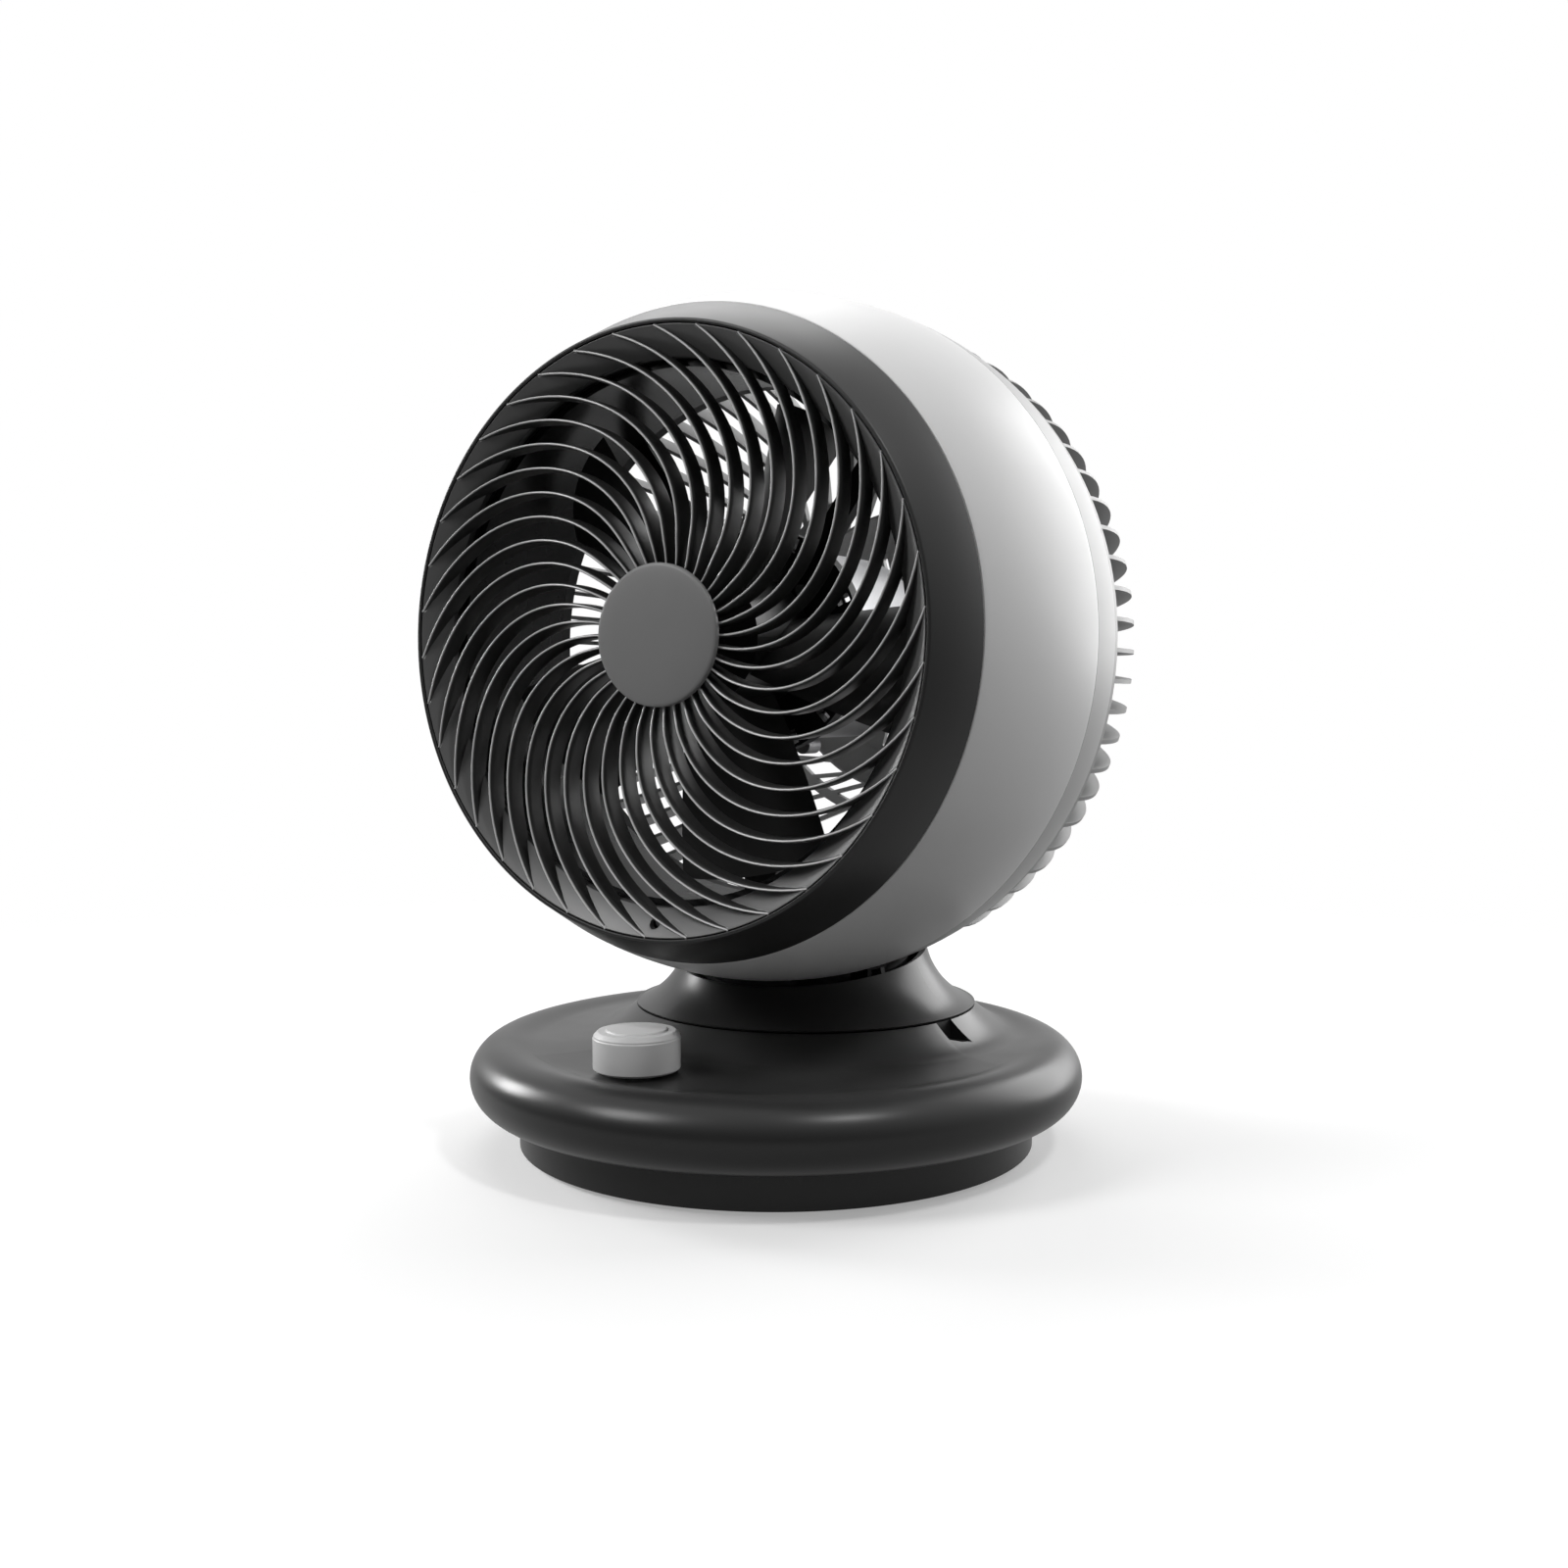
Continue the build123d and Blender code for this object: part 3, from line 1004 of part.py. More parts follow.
# ---------------------------------------------------------------- front bezel
with BuildPart() as front_bezel:
    with BuildSketch(HEAD_SECTION):
        Polygon((CREST_INNER_RADIUS, CREST_DEPTH), (CREST_RADIUS, CREST_DEPTH),
                (BELT_FRONT_RADIUS, BELT_FRONT_DEPTH), (BELT_FRONT_RADIUS - BEZEL_WALL, BELT_FRONT_DEPTH),
                (BEZEL_HOLLOW_RADIUS, BEZEL_HOLLOW_DEPTH),
                (CREST_INNER_RADIUS + BEZEL_WALL, BEZEL_HOLLOW_DEPTH),
                (CREST_INNER_RADIUS + BEZEL_WALL, FLANGE_REAR), (OPENING_RADIUS, FLANGE_REAR),
                (OPENING_RADIUS, FLANGE_DEPTH), (CREST_INNER_RADIUS, FLANGE_DEPTH), align=None)
        Polygon((LIP_OUTER_RADIUS, BELT_FRONT_DEPTH - BEZEL_LIP_LENGTH),
                (LIP_OUTER_RADIUS, BELT_FRONT_DEPTH + BEZEL_LIP_WALL),
                (LIP_OUTER_RADIUS - BEZEL_LIP_WALL, BELT_FRONT_DEPTH + BEZEL_LIP_LENGTH),
                (LIP_OUTER_RADIUS - BEZEL_LIP_WALL, BELT_FRONT_DEPTH - BEZEL_LIP_LENGTH), align=None)
    revolve(axis=HEAD_AXIS)
    with BuildSketch(face_plane(FLANGE_DEPTH)):
        with Locations((0, -GRILLE_SCREW_RING)):
            Circle(GRILLE_SCREW_RADIUS + SCREW_PLAY)
    extrude(amount=-2 * FLANGE_THICKNESS, mode=Mode.SUBTRACT)
    fillet(front_bezel.edges().filter_by(GeomType.CIRCLE).filter_by(
        lambda edge: abs(edge.radius - CREST_RADIUS) < SEAT_GAP), CREST_ROUND)
finish(front_bezel.part, "front_bezel")


# ---------------------------------------------------------------- front grille
def vane_point(radius, side):
    """A point of one vane's outline: its centre line swings forward on the way out."""
    span = CREST_RADIUS - CAP_RADIUS
    share = max(radius - CAP_RADIUS, 0) / span
    angle = radians(VANE_TIP_ANGLE - VANE_SWEEP * (1 - share ** VANE_SWEEP_POWER))
    lean = radius * radians(VANE_SWEEP) * VANE_SWEEP_POWER * share ** (VANE_SWEEP_POWER - 1) / span
    length = sqrt(1 + lean * lean)
    outward = radius - side * VANE_THICKNESS / 2 * lean / length
    across = side * VANE_THICKNESS / 2 / length
    return outward * cos(angle) - across * sin(angle), outward * sin(angle) + across * cos(angle)


def vane_face():
    """One swept vane, seen from the front."""
    length = VANE_TIP_RADIUS - VANE_ROOT_RADIUS
    steps = [VANE_ROOT_RADIUS + length * step / VANE_STEPS for step in range(VANE_STEPS + 1)]
    left = [vane_point(radius, 1) for radius in steps]
    right = [vane_point(radius, -1) for radius in steps]
    with BuildSketch(mode=Mode.PRIVATE) as vane:
        with BuildLine():
            Spline(*left)
            Line(left[-1], right[-1])
            Spline(*right)
            Line(right[0], left[0])
        make_face()
    return vane.sketch


with BuildPart() as front_grille:
    with BuildSketch(face_plane(VANE_REAR_DEPTH)):
        with PolarLocations(0, VANE_COUNT):
            add(vane_face())
    extrude(amount=CREST_DEPTH - VANE_REAR_DEPTH + VANE_THICKNESS)
    with BuildSketch(HEAD_SECTION):
        Polygon((0, CAP_SEAT_DEPTH), (CAP_RADIUS + SEAT_GAP, CAP_SEAT_DEPTH),
                (VANE_SHOULDER_RADIUS, VANE_SHOULDER_DEPTH),
                (CREST_INNER_RADIUS - SEAT_GAP, CREST_DEPTH - SEAT_GAP),
                (CREST_INNER_RADIUS - SEAT_GAP, FLANGE_DEPTH + VANE_RIM_LIFT),
                (OPENING_RADIUS, FLANGE_DEPTH + VANE_RIM_LIFT),
                (VANE_SHOULDER_RADIUS, VANE_REAR_DEPTH), (0, VANE_REAR_DEPTH), align=None)
    revolve(axis=HEAD_AXIS, mode=Mode.INTERSECT)
    with BuildSketch(HEAD_SECTION):
        Polygon((OPENING_RADIUS, FLANGE_DEPTH), (OPENING_RADIUS, OPENING_DEPTH),
                (CREST_INNER_RADIUS - SEAT_GAP, CREST_DEPTH - SEAT_GAP),
                (CREST_INNER_RADIUS - SEAT_GAP, FLANGE_DEPTH),
                (CREST_INNER_RADIUS - SEAT_GAP - RIM_WALL, FLANGE_DEPTH),
                (CREST_INNER_RADIUS - SEAT_GAP - RIM_WALL, CREST_DEPTH - 2 * RIM_WALL),
                (OPENING_RADIUS + RIM_WALL, FLANGE_DEPTH + RIM_WALL / 2),
                (OPENING_RADIUS + RIM_WALL, FLANGE_DEPTH), align=None)
    revolve(axis=HEAD_AXIS)
    with BuildSketch(face_plane(VANE_REAR_DEPTH)):
        Circle(GRILLE_HUB_RADIUS)
    extrude(amount=CAP_SEAT_DEPTH - VANE_REAR_DEPTH)
    with BuildSketch(face_plane(VANE_REAR_DEPTH)):
        Circle(GRILLE_HUB_RADIUS - GRILLE_HUB_THICKNESS)
    extrude(amount=CAP_SEAT_DEPTH - VANE_REAR_DEPTH - GRILLE_HUB_THICKNESS, mode=Mode.SUBTRACT)
    with BuildSketch(face_plane(FLANGE_DEPTH)):
        with Locations((0, -GRILLE_SCREW_RING)):
            Circle(GRILLE_SCREW_BOSS)
    extrude(amount=RIM_WALL)
    with BuildSketch(face_plane(FLANGE_DEPTH)):
        with Locations((0, -GRILLE_SCREW_RING)):
            Circle(GRILLE_SCREW_RADIUS + SCREW_PLAY)
    extrude(amount=RIM_WALL, mode=Mode.SUBTRACT)
    with BuildSketch(face_plane(FLANGE_DEPTH + RIM_WALL)):
        with Locations((0, -GRILLE_SCREW_RING)):
            Circle(GRILLE_SCREW_HEAD_RADIUS + SEAT_GAP)
    extrude(amount=CREST_DEPTH - FLANGE_DEPTH, mode=Mode.SUBTRACT)
finish(front_grille.part, "front_grille")

with BuildPart() as grille_cap:
    with BuildSketch(HEAD_SECTION):
        with BuildLine():
            Line((0, CAP_SEAT_DEPTH), (CAP_RADIUS, CAP_SEAT_DEPTH))
            Line((CAP_RADIUS, CAP_SEAT_DEPTH), (CAP_RADIUS, CAP_SEAT_DEPTH + CAP_THICKNESS))
            TangentArc((0, CAP_SEAT_DEPTH + CAP_THICKNESS + CAP_DOME),
                       (CAP_RADIUS, CAP_SEAT_DEPTH + CAP_THICKNESS), tangent=(1, 0))
            Line((0, CAP_SEAT_DEPTH + CAP_THICKNESS + CAP_DOME), (0, CAP_SEAT_DEPTH))
        make_face()
    revolve(axis=HEAD_AXIS)
finish(grille_cap.part, "grille_cap")

with BuildPart() as grille_screw:
    with BuildSketch(face_plane(FLANGE_DEPTH + RIM_WALL)):
        with Locations((0, -GRILLE_SCREW_RING)):
            Circle(GRILLE_SCREW_RADIUS)
    extrude(amount=-GRILLE_SCREW_LENGTH)
    with BuildSketch(face_plane(FLANGE_DEPTH + RIM_WALL)):
        with Locations((0, -GRILLE_SCREW_RING)):
            Circle(GRILLE_SCREW_HEAD_RADIUS)
    extrude(amount=GRILLE_SCREW_HEAD)
finish(grille_screw.part, "grille_screw")

# ---------------------------------------------------------------- duct ring and motor mount
with BuildPart() as duct_ring:
    with BuildSketch(HEAD_SECTION):
        Polygon((DUCT_FRONT_RADIUS, FLANGE_REAR), (DUCT_FLANGE_RADIUS, FLANGE_REAR),
                (DUCT_FLANGE_RADIUS, FLANGE_REAR - DUCT_FLANGE),
                (DUCT_FRONT_RADIUS + DUCT_WALL, FLANGE_REAR - DUCT_FLANGE),
                (DUCT_REAR_RADIUS + DUCT_WALL, MOUNT_FRONT + DUCT_FLANGE),
                (MOUNT_RING_RADIUS, MOUNT_FRONT + DUCT_FLANGE), (MOUNT_RING_RADIUS, MOUNT_FRONT),
                (DUCT_REAR_RADIUS, MOUNT_FRONT), align=None)
    revolve(axis=HEAD_AXIS)
    with BuildSketch(face_plane(MOUNT_FRONT)):
        with PolarLocations(DUCT_SCREW_RING, MOUNT_ARM_COUNT, start_angle=DUCT_SCREW_START):
            Circle(MOTOR_SCREW_RADIUS + SCREW_PLAY)
    extrude(amount=DUCT_FLANGE, mode=Mode.SUBTRACT)
    with BuildSketch(face_plane(FLANGE_REAR)):
        with Locations((0, -GRILLE_SCREW_RING)):
            Circle(GRILLE_SCREW_RADIUS + SCREW_PLAY)
    extrude(amount=-DUCT_FLANGE, mode=Mode.SUBTRACT)
finish(duct_ring.part, "duct_ring")

with BuildPart() as motor_mount:
    with BuildSketch(face_plane(MOUNT_DEPTH)):
        Circle(MOUNT_RING_RADIUS)
        Circle(DUCT_REAR_RADIUS, mode=Mode.SUBTRACT)
        Circle(MOUNT_PLATE_RADIUS)
        with PolarLocations(MOUNT_ARM_REACH, MOUNT_ARM_COUNT, start_angle=-90):
            Rectangle(DUCT_REAR_RADIUS - MOUNT_PLATE_RADIUS + MOUNT_THICKNESS, MOUNT_ARM_WIDTH)
        with Locations((0, -MOUNT_ARM_REACH)):
            Rectangle(CABLE_ARM_WIDTH, DUCT_REAR_RADIUS - MOUNT_PLATE_RADIUS + MOUNT_THICKNESS)
        with PolarLocations((STATOR_OUTER_RADIUS + MOUNT_PLATE_RADIUS) / 2, MOUNT_SLOT_COUNT):
            Rectangle(MOUNT_SLOT_LENGTH, MOUNT_SLOT_WIDTH, mode=Mode.SUBTRACT)
        Circle(BEARING_RADIUS + BEARING_CUP_WALL, mode=Mode.SUBTRACT)
        with PolarLocations(MOUNT_SCREW_RING, MOTOR_SCREW_COUNT, start_angle=MOUNT_SCREW_START):
            Circle(MOTOR_SCREW_RADIUS + SCREW_PLAY, mode=Mode.SUBTRACT)
        with PolarLocations(DUCT_SCREW_RING, MOUNT_ARM_COUNT, start_angle=DUCT_SCREW_START):
            Circle(MOTOR_SCREW_RADIUS + SCREW_PLAY, mode=Mode.SUBTRACT)
    extrude(amount=MOUNT_THICKNESS)
finish(motor_mount.part, "motor_mount")

with BuildPart() as mount_screws:
    with BuildSketch(face_plane(MOUNT_FRONT)):
        with PolarLocations(MOUNT_SCREW_RING, MOTOR_SCREW_COUNT, start_angle=MOUNT_SCREW_START):
            Circle(MOTOR_SCREW_RADIUS)
    extrude(amount=-MOUNT_THICKNESS - MOTOR_WALL)
    with BuildSketch(face_plane(MOUNT_FRONT)):
        with PolarLocations(MOUNT_SCREW_RING, MOTOR_SCREW_COUNT, start_angle=MOUNT_SCREW_START):
            Circle(MOTOR_SCREW_HEAD_RADIUS)
    extrude(amount=MOTOR_SCREW_HEAD)
    with BuildSketch(face_plane(MOUNT_DEPTH)):
        with PolarLocations(DUCT_SCREW_RING, MOUNT_ARM_COUNT, start_angle=DUCT_SCREW_START):
            Circle(MOTOR_SCREW_RADIUS)
    extrude(amount=MOUNT_THICKNESS + DUCT_FLANGE)
    with BuildSketch(face_plane(MOUNT_DEPTH)):
        with PolarLocations(DUCT_SCREW_RING, MOUNT_ARM_COUNT, start_angle=DUCT_SCREW_START):
            Circle(MOTOR_SCREW_HEAD_RADIUS)
    extrude(amount=-MOTOR_SCREW_HEAD)
finish(mount_screws.part, "mount_screws")


# ---------------------------------------------------------------- motor
def motor_cup(end, split, bearing_end, bore):
    """One half of the motor's housing, from its end wall to the split, with the seat for its bearing."""
    inwards = 1 if split > end else -1
    with BuildPart(mode=Mode.PRIVATE) as cup:
        with BuildSketch(HEAD_SECTION):
            Polygon((bore, end), (MOTOR_RADIUS, end), (MOTOR_RADIUS, split),
                    (MOTOR_RADIUS - MOTOR_WALL, split),
                    (MOTOR_RADIUS - MOTOR_WALL, end + inwards * MOTOR_WALL),
                    (BEARING_RADIUS + BEARING_CUP_WALL, end + inwards * MOTOR_WALL),
                    (BEARING_RADIUS + BEARING_CUP_WALL, bearing_end),
                    (BEARING_RADIUS + BEARING_FIT, bearing_end),
                    (BEARING_RADIUS + BEARING_FIT, end + inwards * MOTOR_WALL),
                    (bore, end + inwards * MOTOR_WALL),
                    align=None)
        revolve(axis=HEAD_AXIS)
        with BuildSketch(face_plane(split)):
            with PolarLocations(MOTOR_SCREW_RING, MOTOR_SCREW_COUNT):
                Circle(MOTOR_LUG_RADIUS)
            Circle(MOTOR_RADIUS - MOTOR_WALL / 2, mode=Mode.SUBTRACT)
        extrude(amount=-inwards * MOTOR_LUG_LENGTH)
        with BuildSketch(face_plane(split)):
            with PolarLocations(MOTOR_SCREW_RING, MOTOR_SCREW_COUNT):
                Circle(MOTOR_SCREW_RADIUS + SCREW_PLAY)
        extrude(amount=-inwards * MOTOR_LUG_LENGTH, mode=Mode.SUBTRACT)
    return cup


motor_front_housing = motor_cup(MOTOR_FRONT_DEPTH, MOTOR_SPLIT_DEPTH, FRONT_BEARING_DEPTH,
                                SHAFT_RADIUS + SLIDE_GAP)
with BuildPart(mode=Mode.PRIVATE) as mount_screw_holes:
    with BuildSketch(face_plane(MOTOR_FRONT_DEPTH)):
        with PolarLocations(MOUNT_SCREW_RING, MOTOR_SCREW_COUNT, start_angle=MOUNT_SCREW_START):
            Circle(MOTOR_SCREW_RADIUS + SCREW_PLAY)
    extrude(amount=-MOTOR_WALL)
finish(motor_front_housing.part - mount_screw_holes.part, "motor_front_housing")

motor_rear_housing = motor_cup(MOTOR_REAR_DEPTH, MOTOR_SPLIT_DEPTH, REAR_BEARING_DEPTH + BEARING_WIDTH,
                               SHAFT_RADIUS + SLIDE_GAP)
finish(motor_rear_housing.part, "motor_rear_housing")

with BuildPart() as motor_screws:
    with BuildSketch(face_plane(MOTOR_SPLIT_DEPTH - MOTOR_LUG_LENGTH)):
        with PolarLocations(MOTOR_SCREW_RING, MOTOR_SCREW_COUNT):
            Circle(MOTOR_SCREW_RADIUS)
    extrude(amount=2 * MOTOR_LUG_LENGTH)
    with BuildSketch(face_plane(MOTOR_SPLIT_DEPTH - MOTOR_LUG_LENGTH)):
        with PolarLocations(MOTOR_SCREW_RING, MOTOR_SCREW_COUNT):
            Circle(MOTOR_SCREW_HEAD_RADIUS)
    extrude(amount=-MOTOR_SCREW_HEAD)
finish(motor_screws.part, "motor_screws")

with BuildPart() as motor_bearings:
    with BuildSketch(face_plane(FRONT_BEARING_DEPTH)):
        Circle(BEARING_RADIUS)
        Circle(SHAFT_RADIUS + BEARING_FIT, mode=Mode.SUBTRACT)
    extrude(amount=BEARING_WIDTH)
    with BuildSketch(face_plane(REAR_BEARING_DEPTH)):
        Circle(BEARING_RADIUS)
        Circle(SHAFT_RADIUS + BEARING_FIT, mode=Mode.SUBTRACT)
    extrude(amount=BEARING_WIDTH)
finish(motor_bearings.part, "motor_bearings")

finish(ring_solid(face_plane(STATOR_CENTRE_DEPTH - STATOR_LENGTH / 2), STATOR_INNER_RADIUS,
                  STATOR_OUTER_RADIUS, STATOR_LENGTH), "motor_stator")

with BuildPart() as motor_windings:
    add(ring_solid(face_plane(STATOR_CENTRE_DEPTH + STATOR_LENGTH / 2), WINDING_INNER_RADIUS,
                   WINDING_OUTER_RADIUS, WINDING_LENGTH))
    add(ring_solid(face_plane(STATOR_CENTRE_DEPTH - STATOR_LENGTH / 2 - WINDING_LENGTH), WINDING_INNER_RADIUS,
                   WINDING_OUTER_RADIUS, WINDING_LENGTH))
finish(motor_windings.part, "motor_windings")

finish(ring_solid(face_plane(STATOR_CENTRE_DEPTH - ROTOR_LENGTH / 2), SHAFT_RADIUS + BEARING_FIT,
                  ROTOR_RADIUS, ROTOR_LENGTH), "motor_rotor")

with BuildPart() as motor_shaft:
    with BuildSketch(face_plane(SHAFT_REAR_DEPTH)):
        Circle(SHAFT_RADIUS)
    extrude(amount=SHAFT_FRONT_DEPTH - SHAFT_REAR_DEPTH)
finish(motor_shaft.part, "motor_shaft")


# ---------------------------------------------------------------- impeller and its nut
def blade_section(radius, chord, pitch):
    """A blade's cambered section at this radius, on the blade that points along +X."""
    def turned(along, across):
        lean = radians(pitch)
        return across * sin(lean) - along * cos(lean), along * sin(lean) + across * cos(lean)

    place = Plane(origin=HEAD_CENTRE + Vector(radius, -BLADE_MIDDLE_DEPTH, 0), x_dir=(0, 0, 1),
                  z_dir=(1, 0, 0))
    bulge = BLADE_CAMBER * chord
    with BuildSketch(place, mode=Mode.PRIVATE) as section:
        with BuildLine():
            ThreePointArc(turned(-chord / 2, 0), turned(0, bulge + BLADE_THICKNESS / 2), turned(chord / 2, 0))
            ThreePointArc(turned(chord / 2, 0), turned(0, bulge - BLADE_THICKNESS / 2), turned(-chord / 2, 0))
        make_face()
    return section.sketch


root_section = blade_section(IMPELLER_HUB_RADIUS - IMPELLER_HUB_WALL, BLADE_ROOT_CHORD, BLADE_ROOT_PITCH)
middle_section = blade_section((IMPELLER_HUB_RADIUS + IMPELLER_RADIUS) / 2, BLADE_MID_CHORD, BLADE_MID_PITCH)
tip_section = blade_section(IMPELLER_RADIUS + IMPELLER_HUB_WALL, BLADE_TIP_CHORD, BLADE_TIP_PITCH)

with BuildPart() as blade:
    loft([root_section, middle_section, tip_section])
    with BuildSketch(face_plane(0)):
        Circle(IMPELLER_RADIUS)
        Circle(IMPELLER_HUB_RADIUS - IMPELLER_HUB_WALL / 2, mode=Mode.SUBTRACT)
    extrude(amount=CREST_DEPTH, mode=Mode.INTERSECT)

with BuildPart() as impeller:
    with BuildSketch(HEAD_SECTION):
        Polygon((SHAFT_RADIUS + BEARING_FIT, IMPELLER_HUB_REAR), (BEARING_RADIUS, IMPELLER_HUB_REAR),
                (BEARING_RADIUS, IMPELLER_HUB_FRONT - IMPELLER_HUB_WALL),
                (IMPELLER_HUB_RADIUS - IMPELLER_HUB_WALL, IMPELLER_HUB_FRONT - IMPELLER_HUB_WALL),
                (IMPELLER_HUB_RADIUS - IMPELLER_HUB_WALL, IMPELLER_HUB_REAR),
                (IMPELLER_HUB_RADIUS, IMPELLER_HUB_REAR), (IMPELLER_HUB_RADIUS, IMPELLER_HUB_FRONT),
                (SHAFT_RADIUS + BEARING_FIT, IMPELLER_HUB_FRONT), align=None)
    revolve(axis=HEAD_AXIS)
    add([blade.part.rotate(HEAD_AXIS, BLADE_FIRST_ANGLE + 360 / BLADE_COUNT * k) for k in range(BLADE_COUNT)])
finish(impeller.part, "impeller")

with BuildPart() as impeller_nut:
    with BuildSketch(face_plane(IMPELLER_HUB_FRONT)):
        Circle(IMPELLER_NUT_RADIUS)
    extrude(amount=IMPELLER_NUT_HEIGHT)
    chamfer(impeller_nut.faces().sort_by(Axis.Y)[0].edges(), IMPELLER_NUT_CHAMFER)
    with BuildSketch(face_plane(IMPELLER_HUB_FRONT)):
        Circle(SHAFT_RADIUS + BEARING_FIT)
    extrude(amount=SHAFT_FRONT_DEPTH - IMPELLER_HUB_FRONT, mode=Mode.SUBTRACT)
finish(impeller_nut.part, "impeller_nut")


# ---------------------------------------------------------------- rear ring
def zone(start_depth, end_depth, outer, inner):
    """The part of the ball's wall between two depths."""
    middle_depth = (start_depth + end_depth) / 2

    def at(radius, depth):
        return sqrt(radius ** 2 - depth ** 2), depth

    with BuildPart(mode=Mode.PRIVATE) as wall:
        with BuildSketch(HEAD_SECTION):
            with BuildLine():
                ThreePointArc(at(outer, start_depth), at(outer, middle_depth), at(outer, end_depth))
                Line(at(outer, end_depth), at(inner, end_depth))
                ThreePointArc(at(inner, end_depth), at(inner, middle_depth), at(inner, start_depth))
                Line(at(inner, start_depth), at(outer, start_depth))
            make_face()
        revolve(axis=HEAD_AXIS)
    return wall.part


stem_slot = arc_block(SLOT_START, SLOT_END, SLOT_HALF_WIDTH, RAIL_OUTER - 2 * RAIL_THICKNESS,
                      HEAD_RADIUS + FIN_PROUD)

with BuildPart() as rear_ring:
    add(zone(BELT_REAR_DEPTH, RING_REAR_DEPTH, HEAD_RADIUS, HEAD_RADIUS - SHELL_THICKNESS))
    add(stem_slot, mode=Mode.SUBTRACT)
finish(rear_ring.part, "rear_ring")

# ---------------------------------------------------------------- rear grille
def fin_ring(proud, wall):
    """Ring that bounds the fins: from the frame to the middle ring, bulging by `proud` at mid-length."""
    middle = (FRAME_ANGLE + FIN_END_ANGLE) / 2
    surface = HEAD_RADIUS - SEAT_GAP
    inner = HEAD_RADIUS - wall
    with BuildPart(mode=Mode.PRIVATE) as ring:
        with BuildSketch(HEAD_SECTION):
            with BuildLine():
                ThreePointArc(on_ball(FRAME_ANGLE, surface), on_ball(middle, surface + proud),
                              on_ball(FIN_END_ANGLE, surface))
                Line(on_ball(FIN_END_ANGLE, surface), on_ball(FIN_END_ANGLE, inner))
                ThreePointArc(on_ball(FIN_END_ANGLE, inner), on_ball(middle, inner),
                              on_ball(FRAME_ANGLE, inner))
                Line(on_ball(FRAME_ANGLE, inner), on_ball(FRAME_ANGLE, surface))
            make_face()
        revolve(axis=HEAD_AXIS)
    return ring.part


def fins(indexes, bounds):
    """The fins with these numbers, cut to the ring that bounds them."""
    with BuildPart(mode=Mode.PRIVATE) as group:
        with BuildSketch(face_plane(-REAR_DEPTH)):
            for index in indexes:
                with PolarLocations(FIN_MIDDLE_RADIUS, 1, start_angle=FIN_PHASE + FIN_PITCH * index):
                    Rectangle(FIN_SPAN, FIN_THICKNESS)
        extrude(amount=REAR_DEPTH)
        add(bounds, mode=Mode.INTERSECT)
    return group.part


def is_flush(index):
    """Whether this fin runs under the head, where the neck's cup passes."""
    angle = radians(FIN_PHASE + FIN_PITCH * index)
    return abs(HEAD_RADIUS * cos(angle)) < FLUSH_HALF_WIDTH and sin(angle) < 0


flush_fins = [index for index in range(FIN_COUNT) if is_flush(index)]
proud_fins = [index for index in range(FIN_COUNT) if not is_flush(index)]

with BuildPart() as rear_wall:
    with BuildSketch(HEAD_SECTION):
        with BuildLine():
            wall_outer = HEAD_RADIUS - SEAT_GAP
            wall_inner = HEAD_RADIUS - BAND_WALL
            wall_middle = (FRAME_ANGLE + FIN_END_ANGLE) / 2
            outer_end = (sqrt(wall_outer ** 2 - REAR_DEPTH ** 2), -REAR_DEPTH)
            inner_end = (sqrt(wall_inner ** 2 - REAR_FACE_INNER ** 2), -REAR_FACE_INNER)
            ThreePointArc(on_ball(FRAME_ANGLE, wall_outer), on_ball(wall_middle, wall_outer), outer_end)
            Line(outer_end, (REAR_VENT_OUTER, -REAR_DEPTH))
            Line((REAR_VENT_OUTER, -REAR_DEPTH), (REAR_VENT_OUTER, -REAR_FACE_INNER))
            Line((REAR_VENT_OUTER, -REAR_FACE_INNER), inner_end)
            ThreePointArc(inner_end, on_ball(wall_middle, wall_inner), on_ball(FRAME_ANGLE, wall_inner))
            Line(on_ball(FRAME_ANGLE, wall_inner), on_ball(FRAME_ANGLE, wall_outer))
        make_face()
    revolve(axis=HEAD_AXIS)

with BuildPart() as rear_bars:
    with BuildSketch(face_plane(-REAR_DEPTH)):
        with PolarLocations(FIN_END_RADIUS, BAR_COUNT):
            with Locations(Location((-BAR_LENGTH / 2 * cos(radians(BAR_SLANT)), BAR_LENGTH / 2
                                     * sin(radians(BAR_SLANT)), 0), (0, 0, -BAR_SLANT))):
                Rectangle(BAR_LENGTH, BAR_WIDTH)
        Circle(FIN_END_RADIUS, mode=Mode.INTERSECT)
        add(flat_ring(FIN_END_RADIUS, MIDDLE_RING_WIDTH))
        add(flat_ring(HOOP_RADIUS, HOOP_WIDTH))
        add(flat_ring((REAR_VENT_OUTER + HUB_EDGE_RADIUS) / 2, HUB_EDGE_RADIUS - REAR_VENT_OUTER))
        with Locations((0, -(HEAD_RADIUS + REAR_VENT_OUTER) / 2)):
            Rectangle(2 * (RAIL_HALF_WIDTH + RIM_WALL), HEAD_RADIUS - REAR_VENT_OUTER)
    extrude(amount=REAR_DEPTH)
    add(rear_wall.part, mode=Mode.INTERSECT)

with BuildPart() as rear_grille:
    add(zone(RING_REAR_DEPTH, FRAME_REAR_DEPTH, HEAD_RADIUS, HEAD_RADIUS - FRAME_WALL))
    add(rear_bars.part)
    add(fins(proud_fins, fin_ring(FIN_PROUD, FIN_DEPTH)))
    add(fins(flush_fins, fin_ring(0, BAND_WALL)))
    add(stem_slot, mode=Mode.SUBTRACT)
    with BuildSketch(face_plane(-REAR_DEPTH)):
        Circle(REAR_CAP_RADIUS + SEAT_GAP)
    extrude(amount=REAR_CAP_RECESS, mode=Mode.SUBTRACT)
finish(rear_grille.part, "rear_grille")

